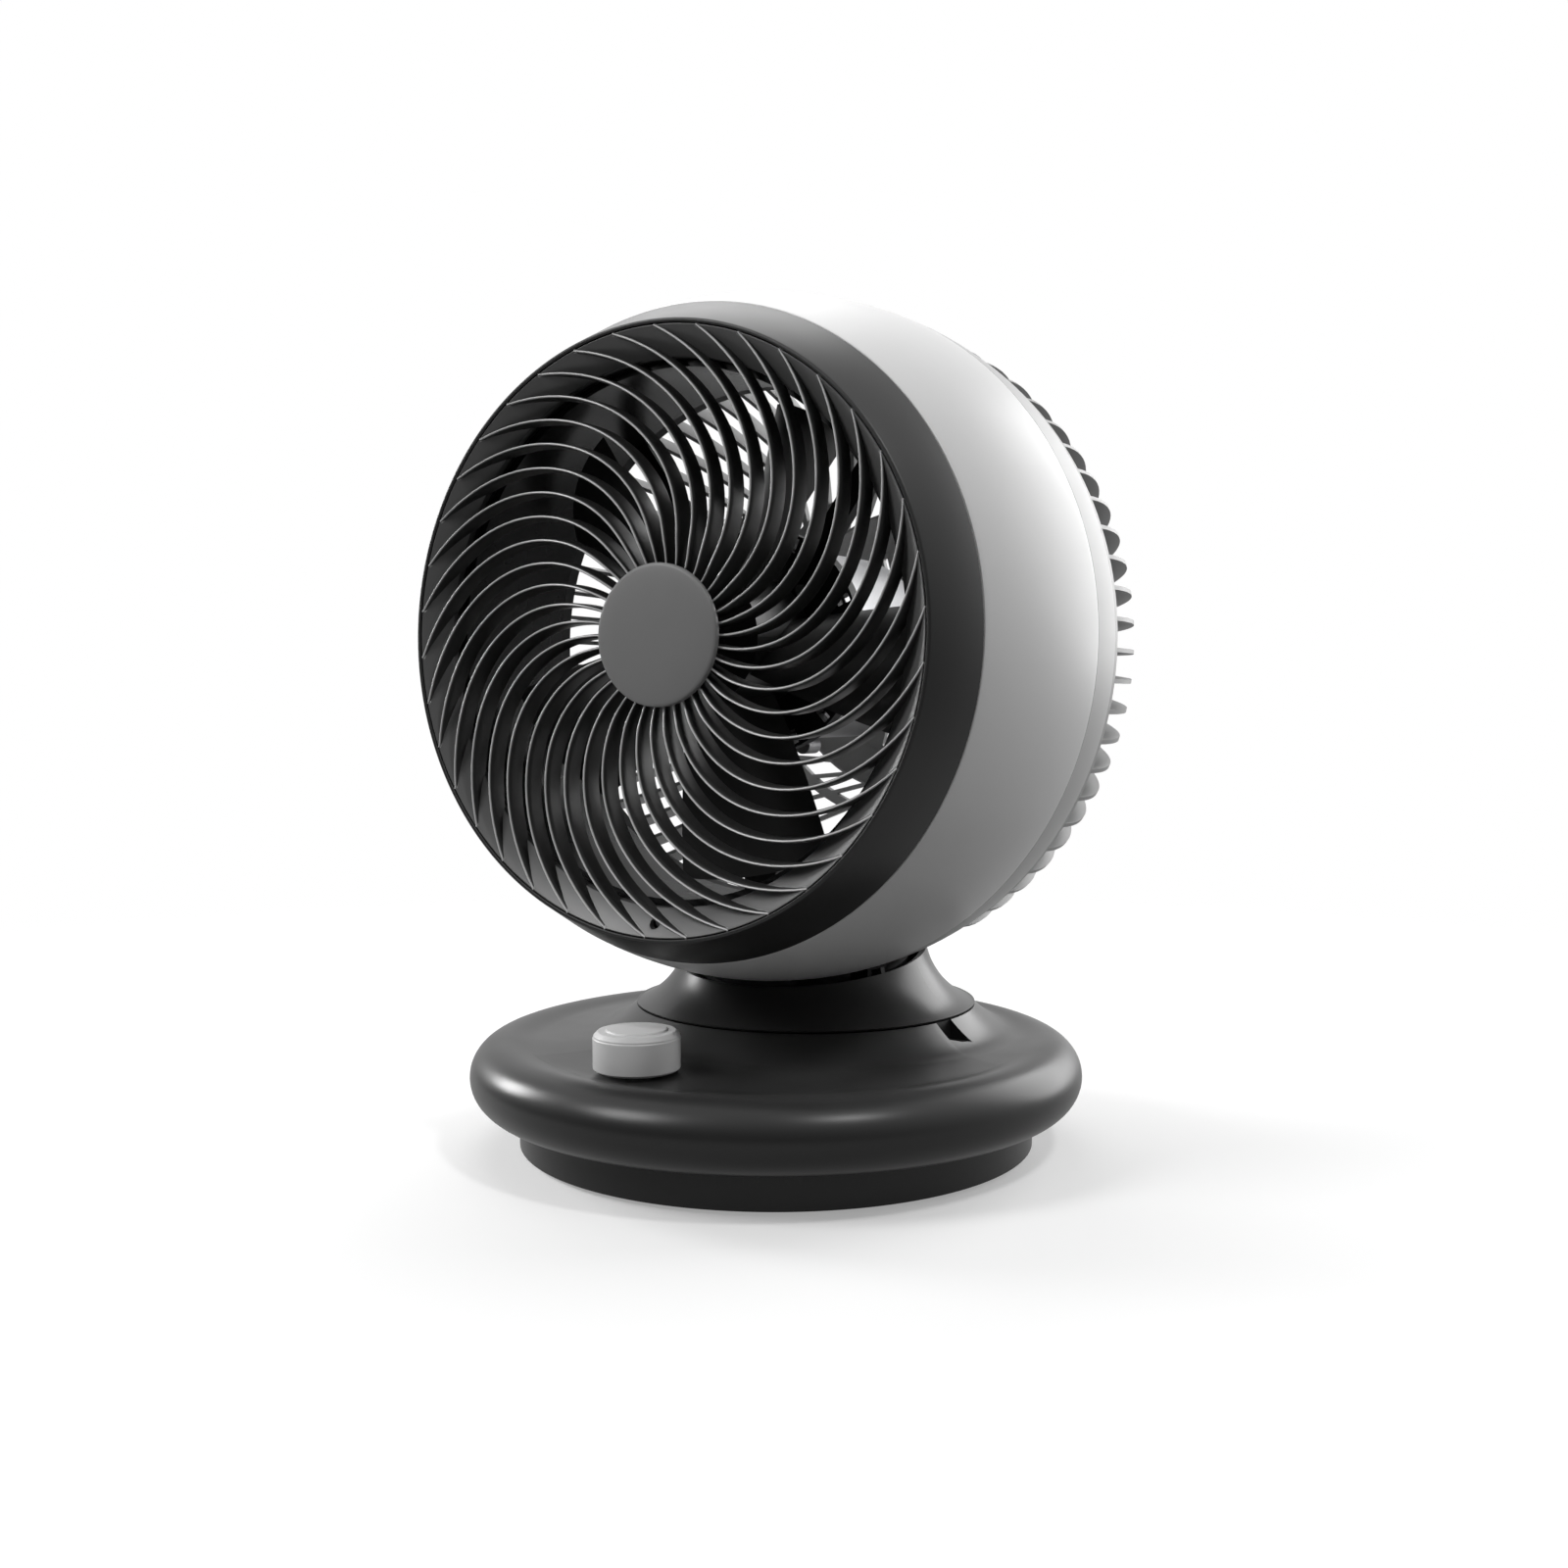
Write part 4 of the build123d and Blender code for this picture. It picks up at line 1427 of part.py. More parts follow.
# ---------------------------------------------------------------- rear cap
with BuildPart() as rear_cap:
    with BuildSketch(face_plane(-REAR_DEPTH)):
        Circle(REAR_CAP_RADIUS)
    extrude(amount=REAR_CAP_RECESS)
    with BuildSketch(face_plane(-REAR_DEPTH)):
        Circle(REAR_VENT_OUTER - SEAT_GAP)
    extrude(amount=BAND_WALL)
    with BuildSketch(face_plane(-REAR_DEPTH)):
        with PolarLocations((REAR_VENT_INNER + REAR_VENT_OUTER) / 2, REAR_VENT_COUNT):
            SlotOverall(REAR_VENT_OUTER - REAR_VENT_INNER - 2 * REAR_VENT_WIDTH, REAR_VENT_WIDTH)
    extrude(amount=BAND_WALL, mode=Mode.SUBTRACT)
finish(rear_cap.part, "rear_cap")

# ---------------------------------------------------------------- tilt rail
with BuildPart() as tilt_rail:
    add(arc_block(RAIL_START, RAIL_END, RAIL_HALF_WIDTH, RAIL_OUTER - RAIL_THICKNESS, RAIL_OUTER))
    add(stem_slot, mode=Mode.SUBTRACT)
finish(tilt_rail.part, "tilt_rail")
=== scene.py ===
# %% [markdown]
# # A table-top air circulator
# The real thing is a ball-shaped fan head that tilts in a cupped neck, on a round base with one knob.
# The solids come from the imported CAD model, which is the fixed frame of this scene. They could all be
# drawn again by hand, but then nothing would be sure to fit, so only what needs softer edges, finer
# shapes or a better finish is made here, in the same place and size.

# %% Loading the frame
import json
from math import atan2, cos, hypot, pi, radians, sin, sqrt, tan

import bmesh
import bpy
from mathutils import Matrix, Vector


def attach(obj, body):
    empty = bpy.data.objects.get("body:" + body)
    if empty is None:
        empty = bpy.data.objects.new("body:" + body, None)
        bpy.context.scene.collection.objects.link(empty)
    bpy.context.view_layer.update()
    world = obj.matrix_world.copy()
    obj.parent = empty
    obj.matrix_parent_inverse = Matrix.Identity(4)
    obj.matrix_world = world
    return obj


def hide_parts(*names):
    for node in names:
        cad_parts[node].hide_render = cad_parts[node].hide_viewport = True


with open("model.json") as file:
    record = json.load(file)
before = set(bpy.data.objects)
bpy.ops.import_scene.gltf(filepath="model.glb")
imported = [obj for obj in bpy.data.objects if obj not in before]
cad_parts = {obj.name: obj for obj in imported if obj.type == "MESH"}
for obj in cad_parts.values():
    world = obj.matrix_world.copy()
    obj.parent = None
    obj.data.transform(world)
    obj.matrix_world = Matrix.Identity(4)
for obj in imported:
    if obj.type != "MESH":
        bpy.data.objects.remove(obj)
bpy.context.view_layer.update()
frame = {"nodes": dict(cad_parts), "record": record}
nodes = frame["nodes"]

# %% [markdown]
# ## Places
# The object's round pieces lie on four axes: the base's, the one that the neck swings round, the head's,
# which points forward, and the knob's. Every round piece is drawn once in its own section, as a radius
# and a height along its axis, so a small record of each axis saves repeating its numbers. Sizes are in
# millimetres, as in the CAD source, and turn into metres where a point is made.

# %% The four axes
MM = 0.001


class Place:
    """An axis with its origin in millimetres and the two directions across it."""

    def __init__(self, origin, across, up_across, along):
        self.origin = Vector(origin)
        self.across = Vector(across)
        self.up_across = Vector(up_across)
        self.along = Vector(along)

    def point(self, radius, angle, height):
        """The point at this radius, angle in radians and height, in metres."""
        side = self.across * cos(angle) + self.up_across * sin(angle)
        return (self.origin + side * radius + self.along * height) * MM


NECK_BACK = 25.0
BALL_RADIUS = 140.0
BASE = Place((0, 0, 0), (1, 0, 0), (0, 1, 0), (0, 0, 1))
NECK = Place((0, NECK_BACK, 0), (1, 0, 0), (0, 1, 0), (0, 0, 1))
HEAD = Place((0, 5, 208), (1, 0, 0), (0, 0, 1), (0, -1, 0))
KNOB = Place((-10, -86, 0), (1, 0, 0), (0, 1, 0), (0, 0, 1))


def add_object(name, data):
    """A new object at the origin, linked to the scene."""
    made = bpy.data.objects.new(name, data)
    bpy.context.scene.collection.objects.link(made)
    return made


print("head centre:", tuple(HEAD.origin), "mm")

# %% [markdown]
# ## Camera
# The photograph was taken a little to the fan's left, at about half the fan's height. The lens and
# place were worked out from known circles on the object, such as the grille's rim and the base's foot.
# A camera that is aimed with to_track_quat needs no constraint, which keeps the file plain.

# %% The photograph's view
CAMERA_TURN = radians(30.6)
CAMERA_RISE = radians(2.8)
CAMERA_DISTANCE = 658.9
AIM_SIDE = 3.3
AIM_HEIGHT = 149.2
LENS = 36.12
VIEW_RIGHT = Vector((cos(CAMERA_TURN), sin(CAMERA_TURN), 0))
VIEW_AWAY = Vector((-sin(CAMERA_TURN), cos(CAMERA_TURN), 0))
UP = Vector((0, 0, 1))
aim = VIEW_RIGHT * AIM_SIDE + UP * AIM_HEIGHT
towards_camera = UP * sin(CAMERA_RISE) - VIEW_AWAY * cos(CAMERA_RISE)
camera_data = bpy.data.cameras.new("photo_camera")
camera_data.lens = LENS
camera_data.sensor_width = 36.0
camera_data.clip_start = 0.01
camera = add_object("photo_camera", camera_data)
camera.location = (aim + towards_camera * CAMERA_DISTANCE) * MM
camera.rotation_euler = (-towards_camera).to_track_quat("-Z", "Y").to_euler()
bpy.context.scene.camera = camera
bpy.context.scene.view_settings.view_transform = "Standard"
print("camera at", [round(value, 3) for value in camera.location])

# %% [markdown]
# ## Helpers for node trees
# Materials and geometry trees are both made of nodes. Two short helpers keep the trees readable: one
# adds a node and sets its inputs, the other starts a node group with named inputs and outputs.


# %% Node helpers
def add_node(tree, kind, inputs=(), **settings):
    """Adds a node, sets its properties, then its inputs by name or number."""
    node = tree.nodes.new(kind)
    for name, value in settings.items():
        setattr(node, name, value)
    for key, value in dict(inputs).items():
        if isinstance(value, bpy.types.NodeSocket):
            tree.links.new(value, node.inputs[key])
        else:
            node.inputs[key].default_value = value
    return node


def new_group(name, kind, inputs, outputs):
    """A node group with its named sockets; gives the group and its two end nodes."""
    group = bpy.data.node_groups.new(name, kind)
    for label, socket_kind, value in inputs:
        socket = group.interface.new_socket(label, in_out="INPUT", socket_type=socket_kind)
        if value is not None:
            socket.default_value = value
    for label, socket_kind in outputs:
        group.interface.new_socket(label, in_out="OUTPUT", socket_type=socket_kind)
    return group, group.nodes.new("NodeGroupInput"), group.nodes.new("NodeGroupOutput")


def grey(value, tint=(1.0, 1.0, 1.0)):
    """A near-neutral colour."""
    return value * tint[0], value * tint[1], value * tint[2], 1.0


COLOUR, FLOAT, VECTOR = "NodeSocketColor", "NodeSocketFloat", "NodeSocketVector"
print("node helpers ready")

# %% [markdown]
# ## The moulded surface
# Nearly every outer piece of the fan is injection-moulded plastic. Close up, such a surface isn't one
# flat colour: it has a fine spark-eroded grain, slow cloudy changes of gloss where the mould was hotter,
# and a thin film of dust on what faces up. One node group makes all three from the object's own
# coordinates, and each material sets how strong they are. A picture texture would do it too, but it
# would need a flat map of every piece.

# %% Node group: moulded surface
moulded, given, result = new_group(
    "moulded_surface", "ShaderNodeTree",
    [("Colour", COLOUR, grey(0.5)), ("Cloud Colour", COLOUR, grey(0.5)), ("Dust Colour", COLOUR, grey(0.4)),
     ("Roughness", FLOAT, 0.4), ("Roughness Spread", FLOAT, 0.08), ("Grain Scale", FLOAT, 900.0),
     ("Cloud Scale", FLOAT, 16.0), ("Dust", FLOAT, 0.1)],
    [("Colour", COLOUR), ("Roughness", FLOAT), ("Grain", FLOAT)])
place = add_node(moulded, "ShaderNodeTexCoord")
clouds = add_node(moulded, "ShaderNodeTexNoise", {
    "Vector": place.outputs["Object"], "Scale": given.outputs["Cloud Scale"], "Detail": 3.0, "Roughness": 0.55})
grain = add_node(moulded, "ShaderNodeTexNoise", {
    "Vector": place.outputs["Object"], "Scale": given.outputs["Grain Scale"], "Detail": 2.0, "Roughness": 0.6})
cloud_mask = add_node(moulded, "ShaderNodeMapRange", {
    "Value": clouds.outputs["Fac"], "From Min": 0.3, "From Max": 0.7})
tint = add_node(moulded, "ShaderNodeMix", {
    "Factor": cloud_mask.outputs[0], "A": given.outputs["Colour"], "B": given.outputs["Cloud Colour"]},
    data_type="RGBA")
facing = add_node(moulded, "ShaderNodeNewGeometry")
upward = add_node(moulded, "ShaderNodeSeparateXYZ", {0: facing.outputs["Normal"]})
lying = add_node(moulded, "ShaderNodeMapRange", {"Value": upward.outputs["Z"], "From Min": 0.3, "From Max": 1.0})
dusted = add_node(moulded, "ShaderNodeMath", {0: lying.outputs[0], 1: given.outputs["Dust"]}, operation="MULTIPLY")
patchy = add_node(moulded, "ShaderNodeMath", {0: dusted.outputs[0], 1: cloud_mask.outputs[0]}, operation="MULTIPLY")
film = add_node(moulded, "ShaderNodeMix", {
    "Factor": patchy.outputs[0], "A": tint.outputs["Result"], "B": given.outputs["Dust Colour"]},
    data_type="RGBA")
spread = add_node(moulded, "ShaderNodeMath", {
    0: cloud_mask.outputs[0], 1: given.outputs["Roughness Spread"]}, operation="MULTIPLY")
rough = add_node(moulded, "ShaderNodeMath", {0: given.outputs["Roughness"], 1: spread.outputs[0]}, operation="ADD")
rougher = add_node(moulded, "ShaderNodeMath", {0: rough.outputs[0], 1: patchy.outputs[0]}, operation="ADD")
moulded.links.new(film.outputs["Result"], result.inputs["Colour"])
moulded.links.new(rougher.outputs[0], result.inputs["Roughness"])
moulded.links.new(grain.outputs["Fac"], result.inputs["Grain"])
print("node group:", moulded.name, "with", len(moulded.nodes), "nodes")

# %% [markdown]
# ## The metal surface
# Screws, the shaft and the motor's cans are bare metal. Turning and rolling leave fine parallel lines,
# and handling leaves duller patches. The lines are noise that is stretched along one direction, and
# the patches reuse plain noise.

# %% Node group: worked metal
LINE_ROUGHNESS = 0.18
worked, given, result = new_group(
    "worked_metal", "ShaderNodeTree",
    [("Colour", COLOUR, grey(0.6)), ("Dull Colour", COLOUR, grey(0.4)), ("Roughness", FLOAT, 0.3),
     ("Line Scale", FLOAT, 60.0), ("Stretch", VECTOR, (1.0, 14.0, 1.0)), ("Patch Scale", FLOAT, 40.0)],
    [("Colour", COLOUR), ("Roughness", FLOAT), ("Lines", FLOAT)])
place = add_node(worked, "ShaderNodeTexCoord")
stretched = add_node(worked, "ShaderNodeVectorMath", {
    0: place.outputs["Object"], 1: given.outputs["Stretch"]}, operation="MULTIPLY")
lines = add_node(worked, "ShaderNodeTexNoise", {
    "Vector": stretched.outputs[0], "Scale": given.outputs["Line Scale"], "Detail": 4.0})
patches = add_node(worked, "ShaderNodeTexNoise", {
    "Vector": place.outputs["Object"], "Scale": given.outputs["Patch Scale"], "Detail": 3.0})
patch_mask = add_node(worked, "ShaderNodeMapRange", {
    "Value": patches.outputs["Fac"], "From Min": 0.45, "From Max": 0.75})
dulled = add_node(worked, "ShaderNodeMix", {
    "Factor": patch_mask.outputs[0], "A": given.outputs["Colour"], "B": given.outputs["Dull Colour"]},
    data_type="RGBA")
line_rough = add_node(worked, "ShaderNodeMath", {0: lines.outputs["Fac"], 1: LINE_ROUGHNESS}, operation="MULTIPLY")
metal_rough = add_node(worked, "ShaderNodeMath", {
    0: given.outputs["Roughness"], 1: line_rough.outputs[0]}, operation="ADD")
worked.links.new(dulled.outputs["Result"], result.inputs["Colour"])
worked.links.new(metal_rough.outputs[0], result.inputs["Roughness"])
worked.links.new(lines.outputs["Fac"], result.inputs["Lines"])
print("node group:", worked.name, "with", len(worked.nodes), "nodes")

# %% [markdown]
# ## Finishes
# The photograph is nearly without colour: dark satin plastic for the base, neck and bezel, a glossy
# dark duct and blades, a white belt, light grey rear parts and knob. Each finish is a material with the
# moulded group's values tuned for it. A number that is the same all over, such as the specular level,
# sits on the shader itself.


# %% Plastic finishes
def surfaced(name, group, values, relief, strength, depth):
    """A material with colour, roughness and fine relief from a node group; gives its shader too."""
    material = bpy.data.materials.new(name)
    material.use_nodes = True
    tree = material.node_tree
    shader = tree.nodes["Principled BSDF"]
    surface = add_node(tree, "ShaderNodeGroup", values, node_tree=group)
    bump = add_node(tree, "ShaderNodeBump", {
        "Height": surface.outputs[relief], "Strength": strength, "Distance": depth * MM})
    tree.links.new(surface.outputs["Colour"], shader.inputs["Base Color"])
    tree.links.new(surface.outputs["Roughness"], shader.inputs["Roughness"])
    tree.links.new(bump.outputs["Normal"], shader.inputs["Normal"])
    return material, shader


def plastic(name, value, roughness, cloud=0.9, spread=0.06, grain=900.0, depth=0.02, dust=0.04,
            specular=0.5, tint=(1.0, 1.0, 1.0), dust_value=0.35):
    """A moulded plastic: its colour, gloss, grain depth in millimetres and dust."""
    material, shader = surfaced(name, moulded, {
        "Colour": grey(value, tint), "Cloud Colour": grey(value * cloud, tint), "Dust Colour": grey(dust_value),
        "Roughness": roughness, "Roughness Spread": spread, "Grain Scale": grain, "Dust": dust},
        "Grain", 0.25, depth)
    shader.inputs["Specular IOR Level"].default_value = specular
    return material


finishes = {
    "dark_plastic": plastic("dark_satin_plastic", 0.020, 0.28, depth=0.012, specular=0.35),
    "panel_gloss": plastic("dark_gloss_panel", 0.014, 0.3, depth=0.004, specular=0.35),
    "rubber": plastic("foot_rubber", 0.018, 0.8, grain=1400, depth=0.05, dust=0.0, specular=0.2),
    "black_plastic": plastic("black_inner_plastic", 0.014, 0.5, depth=0.03, specular=0.3),
    "slip_white": plastic("natural_nylon", 0.68, 0.45, tint=(1.0, 0.97, 0.9)),
    "white_plastic": plastic("white_satin_plastic", 0.74, 0.38, cloud=0.97, depth=0.012, dust=0.02,
                             specular=0.4, dust_value=0.6),
    "bezel_satin": plastic("bezel_satin_plastic", 0.022, 0.36, depth=0.012, specular=0.35),
    # The bevel's grey is a painted highlight, set lighter than the bezel's dark plastic for the light it faces.
    "bevel_painted_lighter": plastic("bevel_plastic_painted_lighter", 0.10, 0.34, depth=0.012, specular=0.5),
    "vane_satin": plastic("vane_satin_plastic", 0.035, 0.28, depth=0.008, specular=0.6),
    "cap_grey": plastic("cap_satin_paint", 0.22, 0.42, depth=0.01, spread=0.04, specular=0.4),
    "duct_gloss": plastic("duct_gloss_plastic", 0.010, 0.22, depth=0.004, specular=0.35),
    "ring_satin": plastic("ring_satin_plastic", 0.50, 0.42, cloud=0.97, depth=0.012, dust=0.02,
                          specular=0.35),
    "rear_grey": plastic("rear_grey_plastic", 0.26, 0.42, cloud=0.95, depth=0.015),
    "blade_dark": plastic("blade_gloss_plastic", 0.045, 0.3, depth=0.006, specular=0.4),
    "knob_grey": plastic("knob_grey_plastic", 0.62, 0.42, cloud=0.97, depth=0.012),
    "board_green": plastic("board_lacquer", 0.16, 0.3, tint=(0.3, 1.0, 0.5)),
    "tick_print": plastic("tick_print", 0.22, 0.5, depth=0.01),
}
print(len(finishes), "plastic finishes")

# %% [markdown]
# A vane's front ridge, the mould's parting line, carries a painted highlight: its colour is mixed towards a
# light grey. The vane's mesh carries that mask as its own value, from nought to one. The other way, a
# second material on thin faces, would leave a hard border.

# %% A painted highlight on the ridge
PAINTED_HIGHLIGHT_GREY = 0.62
vane_tree = finishes["vane_satin"].node_tree
vane_shader = vane_tree.nodes["Principled BSDF"]
body_colour = vane_shader.inputs["Base Color"].links[0].from_socket
painted_highlight_mask = add_node(vane_tree, "ShaderNodeAttribute", attribute_name="painted_ridge_highlight")
painted_highlight_colour = add_node(vane_tree, "ShaderNodeMix", {
    "Factor": painted_highlight_mask.outputs["Fac"], "A": body_colour, "B": grey(PAINTED_HIGHLIGHT_GREY)}, data_type="RGBA")
vane_tree.links.new(painted_highlight_colour.outputs["Result"], vane_shader.inputs["Base Color"])
print("ridge colour mixed into", finishes["vane_satin"].name)


# %% Metal finishes
def metal(name, colour, dull, roughness, stretch=(1.0, 14.0, 1.0), depth=0.01, line_scale=60.0):
    """A bare metal with the lines that its making left."""
    material, shader = surfaced(name, worked, {
        "Colour": (*colour, 1), "Dull Colour": (*dull, 1), "Roughness": roughness, "Stretch": stretch,
        "Line Scale": line_scale}, "Lines", 0.3, depth)
    shader.inputs["Metallic"].default_value = 1.0
    return material


finishes["steel"] = metal("turned_steel", (0.58, 0.58, 0.59), (0.4, 0.4, 0.4), 0.25)
finishes["steel_case"] = metal("plated_case", (0.5, 0.5, 0.48), (0.36, 0.36, 0.34), 0.35, stretch=(1, 1, 10))
finishes["motor_alloy"] = metal("cast_alloy", (0.5, 0.5, 0.51), (0.38, 0.38, 0.39), 0.42, stretch=(1, 1, 1),
                                depth=0.05)
finishes["copper"] = metal("winding_copper", (0.68, 0.3, 0.14), (0.42, 0.16, 0.07), 0.35, stretch=(30, 1, 30),
                           depth=0.1)
finishes["cast_ballast"] = metal("cast_ballast_iron", (0.12, 0.12, 0.12), (0.08, 0.075, 0.07), 0.6,
                                 stretch=(1, 1, 1), depth=0.2, line_scale=220.0)
print(len(finishes), "finishes in all")

# %% [markdown]
# ## Dressing the CAD nodes
# Most inner pieces, such as the motor, the gear and the screws, already have their right shape from
# CAD. They keep it, and only take the material that their record names. The grey ring behind the belt
# is the one exception: it is lighter than the fins that share its slot.

# %% Materials for the CAD nodes
slot_of = {entry["node"]: entry["material_slot"] for entry in frame["record"]["subparts"]}
for name, node in nodes.items():
    if not node.material_slots:
        node.data.materials.append(None)
    for material_slot in node.material_slots:
        material_slot.material = finishes["ring_satin" if name == "rear_ring" else slot_of[name]]
print("dressed", len(nodes), "nodes")

# %% [markdown]
# ## Turned pieces
# The belt, bezel, plinth, cap and knob are solids of revolution. Spin in Edit Mode or a Screw modifier
# could turn a section, but a mesh written ring by ring gives even quads, needs no cleaning up at the
# axis, and keeps each corner's rounding under control. A moulded edge is never dead sharp, so the
# section's corners are rounded first: that thin arc is what catches the light.


# %% Sections with rounded corners
CORNER_STEPS = 4


def rounded(outline):
    """Rounds each corner of a closed outline of (radius, height, rounding) points."""
    points = []
    count = len(outline)
    for index, (x, y, rounding) in enumerate(outline):
        here = Vector((x, y))
        before = Vector(outline[index - 1][:2]) - here
        after = Vector(outline[(index + 1) % count][:2]) - here
        if rounding <= 0 or before.length == 0 or after.length == 0:
            points.append(here)
            continue
        half = before.angle(after) / 2
        if half < radians(2) or half > radians(88):
            points.append(here)
            continue
        reach = min(rounding / tan(half), before.length * 0.49, after.length * 0.49)
        size = reach * tan(half)
        middle = here + (before.normalized() + after.normalized()).normalized() * size / sin(half)
        start = here + before.normalized() * reach
        end = here + after.normalized() * reach
        first = atan2(start.y - middle.y, start.x - middle.x)
        swing = atan2(end.y - middle.y, end.x - middle.x) - first
        swing = (swing + pi) % (2 * pi) - pi
        for step in range(CORNER_STEPS + 1):
            angle = first + swing * step / CORNER_STEPS
            points.append(middle + Vector((cos(angle), sin(angle))) * size)
    return points


def arc_through(first, middle, last, count):
    """Points of the arc through three points, both ends included, with no rounding."""
    ax, ay = first
    bx, by = middle
    cx, cy = last
    scale = 2 * (ax * (by - cy) + bx * (cy - ay) + cx * (ay - by))
    far_a, far_b, far_c = ax * ax + ay * ay, bx * bx + by * by, cx * cx + cy * cy
    ux = (far_a * (by - cy) + far_b * (cy - ay) + far_c * (ay - by)) / scale
    uy = (far_a * (cx - bx) + far_b * (ax - cx) + far_c * (bx - ax)) / scale
    radius = hypot(ax - ux, ay - uy)
    start = atan2(ay - uy, ax - ux)
    swing = (atan2(cy - uy, cx - ux) - start + pi) % (2 * pi) - pi
    return [(ux + radius * cos(start + swing * k / count), uy + radius * sin(start + swing * k / count), 0)
            for k in range(count + 1)]


print("a rounded square corner has", len(rounded([(0, 0, 1), (9, 0, 0), (9, 9, 0), (0, 9, 0)])) - 3, "points")


# %% Turning a section into a mesh
SHARP_ANGLE = radians(32)


def mesh_object(name, points, faces, material):
    """A smooth mesh object in the shared frame, with outward faces and its sharp edges kept."""
    mesh = bpy.data.meshes.new(name)
    mesh.from_pydata([tuple(point) for point in points], [], faces)
    work = bmesh.new()
    work.from_mesh(mesh)
    bmesh.ops.remove_doubles(work, verts=work.verts, dist=1e-6)
    bmesh.ops.dissolve_degenerate(work, edges=work.edges, dist=1e-7)
    bmesh.ops.recalc_face_normals(work, faces=work.faces)
    work.to_mesh(mesh)
    work.free()
    mesh.shade_smooth()
    mesh.set_sharp_from_angle(angle=SHARP_ANGLE)
    mesh.materials.append(material)
    print(name, len(mesh.polygons), "faces")
    return add_object(name, mesh)


def ring_faces(columns, rows):
    """Quads of a grid that closes both round the axis and round the section."""
    faces = []
    for column in range(columns):
        here, there = column * rows, (column + 1) % columns * rows
        for row in range(rows):
            after = (row + 1) % rows
            faces.append((here + row, there + row, there + after, here + after))
    return faces


def tube_faces(steps, sides):
    """Quads between closed sections that follow each other, with a face over each end."""
    faces = []
    for step in range(steps):
        here, there = step * sides, (step + 1) * sides
        for side in range(sides):
            after = (side + 1) % sides
            faces.append((here + side, here + after, there + after, there + side))
    return faces + [tuple(range(sides)), tuple(range(steps * sides, (steps + 1) * sides))]


def turned(name, outline, place, material, turns=240):
    """A solid of revolution: an outline of (radius, height, rounding) turned about a place's axis."""
    section = rounded(outline)
    points = [place.point(x, 2 * pi * column / turns, y) for column in range(turns) for x, y in section]
    return mesh_object(name, points, ring_faces(turns, len(section)), material)


def dress(piece, body, slot, *replaced):
    """Puts a finished piece on its body, instead of the CAD nodes it stands for; the slot is not used."""
    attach(piece, body)
    if replaced:
        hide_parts(*replaced)


# %% [markdown]
# ## White belt
# The widest part of the head is a white moulded shell, gently curved from front to back. It butts
# against the dark bezel in front and the grey ring behind, and the small rounding at both edges makes
# the hairline seams.

# %% Belt
BELT_FRONT = (124.5, 75.0)
BELT_MIDDLE = (135.7, 40.0)
BELT_REAR = (sqrt(BALL_RADIUS ** 2 - 5.0 ** 2), 5.0)
BELT_STEPS = 28
WALL = 2.5
outer_line = arc_through(BELT_FRONT, BELT_MIDDLE, BELT_REAR, BELT_STEPS)
inner_line = [(x - WALL, y, 0) for x, y, _ in reversed(outer_line)]
outer_line[0] = (*BELT_FRONT, 0.35)
outer_line[-1] = (*BELT_REAR, 0.45)
belt = turned("white_belt", outer_line + inner_line, HEAD, finishes["white_plastic"])
dress(belt, "head", "white_plastic", "head_shell")

# %% [markdown]
# ## Front bezel
# A dark satin cone closes the front of the belt and carries the grille. Its crest is a narrow rolled
# edge, which shows as a thin light line round the front.

# %% Bezel
CREST_RADIUS = 114.0
bezel = turned("front_bezel_ring", [
    (112.6, 96.4, 0.4), (CREST_RADIUS, 96.5, 0.9), (*BELT_FRONT, 0.5), (122.2, 75.0, 0.3), (121.8, 69.2, 0.3),
    (119.9, 69.2, 0.3), (119.9, 80.5, 1.0), (115.7, 88.5, 0.5), (114.9, 88.5, 0.3), (114.9, 83.7, 0.5),
    (101.7, 83.7, 0.4), (101.7, 85.8, 0.4), (112.5, 85.8, 0.2),
], HEAD, finishes["bezel_satin"])
dress(bezel, "head", "bezel_satin", "front_bezel")

# %% [markdown]
# ## Copies round an axis
# The grille's vanes and the knob's ticks repeat round an axis. Geometry Nodes do that: one copy is
# modelled round the world's origin, instanced on a row of points, turned step by step about the axis,
# made real and moved to its place. The alternative, an Array modifier with an object offset, needs
# helper empties and leaves no room for a second value such as a phase.

# %% Geometry Nodes: ring of copies
copies, given, result = new_group(
    "ring_of_copies", "GeometryNodeTree",
    [("Geometry", "NodeSocketGeometry", None), ("Count", "NodeSocketInt", 12), ("First Angle", FLOAT, 0.0),
     ("Step", FLOAT, 0.1), ("Axis", VECTOR, (0.0, 0.0, 1.0)), ("Centre", VECTOR, (0.0, 0.0, 0.0)),
     ("Material", "NodeSocketMaterial", None)],
    [("Geometry", "NodeSocketGeometry")])
stations = add_node(copies, "GeometryNodePoints", {"Count": given.outputs["Count"]})
number = add_node(copies, "GeometryNodeInputIndex")
turned_by = add_node(copies, "ShaderNodeMath", {
    0: number.outputs[0], 1: given.outputs["Step"], 2: given.outputs["First Angle"]}, operation="MULTIPLY_ADD")
turning = add_node(copies, "FunctionNodeAxisAngleToRotation", {
    "Axis": given.outputs["Axis"], "Angle": turned_by.outputs[0]})
placed = add_node(copies, "GeometryNodeInstanceOnPoints", {
    "Points": stations.outputs[0], "Instance": given.outputs["Geometry"], "Rotation": turning.outputs[0]})
real = add_node(copies, "GeometryNodeRealizeInstances", {"Geometry": placed.outputs[0]})
moved = add_node(copies, "GeometryNodeTransform", {
    "Geometry": real.outputs[0], "Translation": given.outputs["Centre"]})
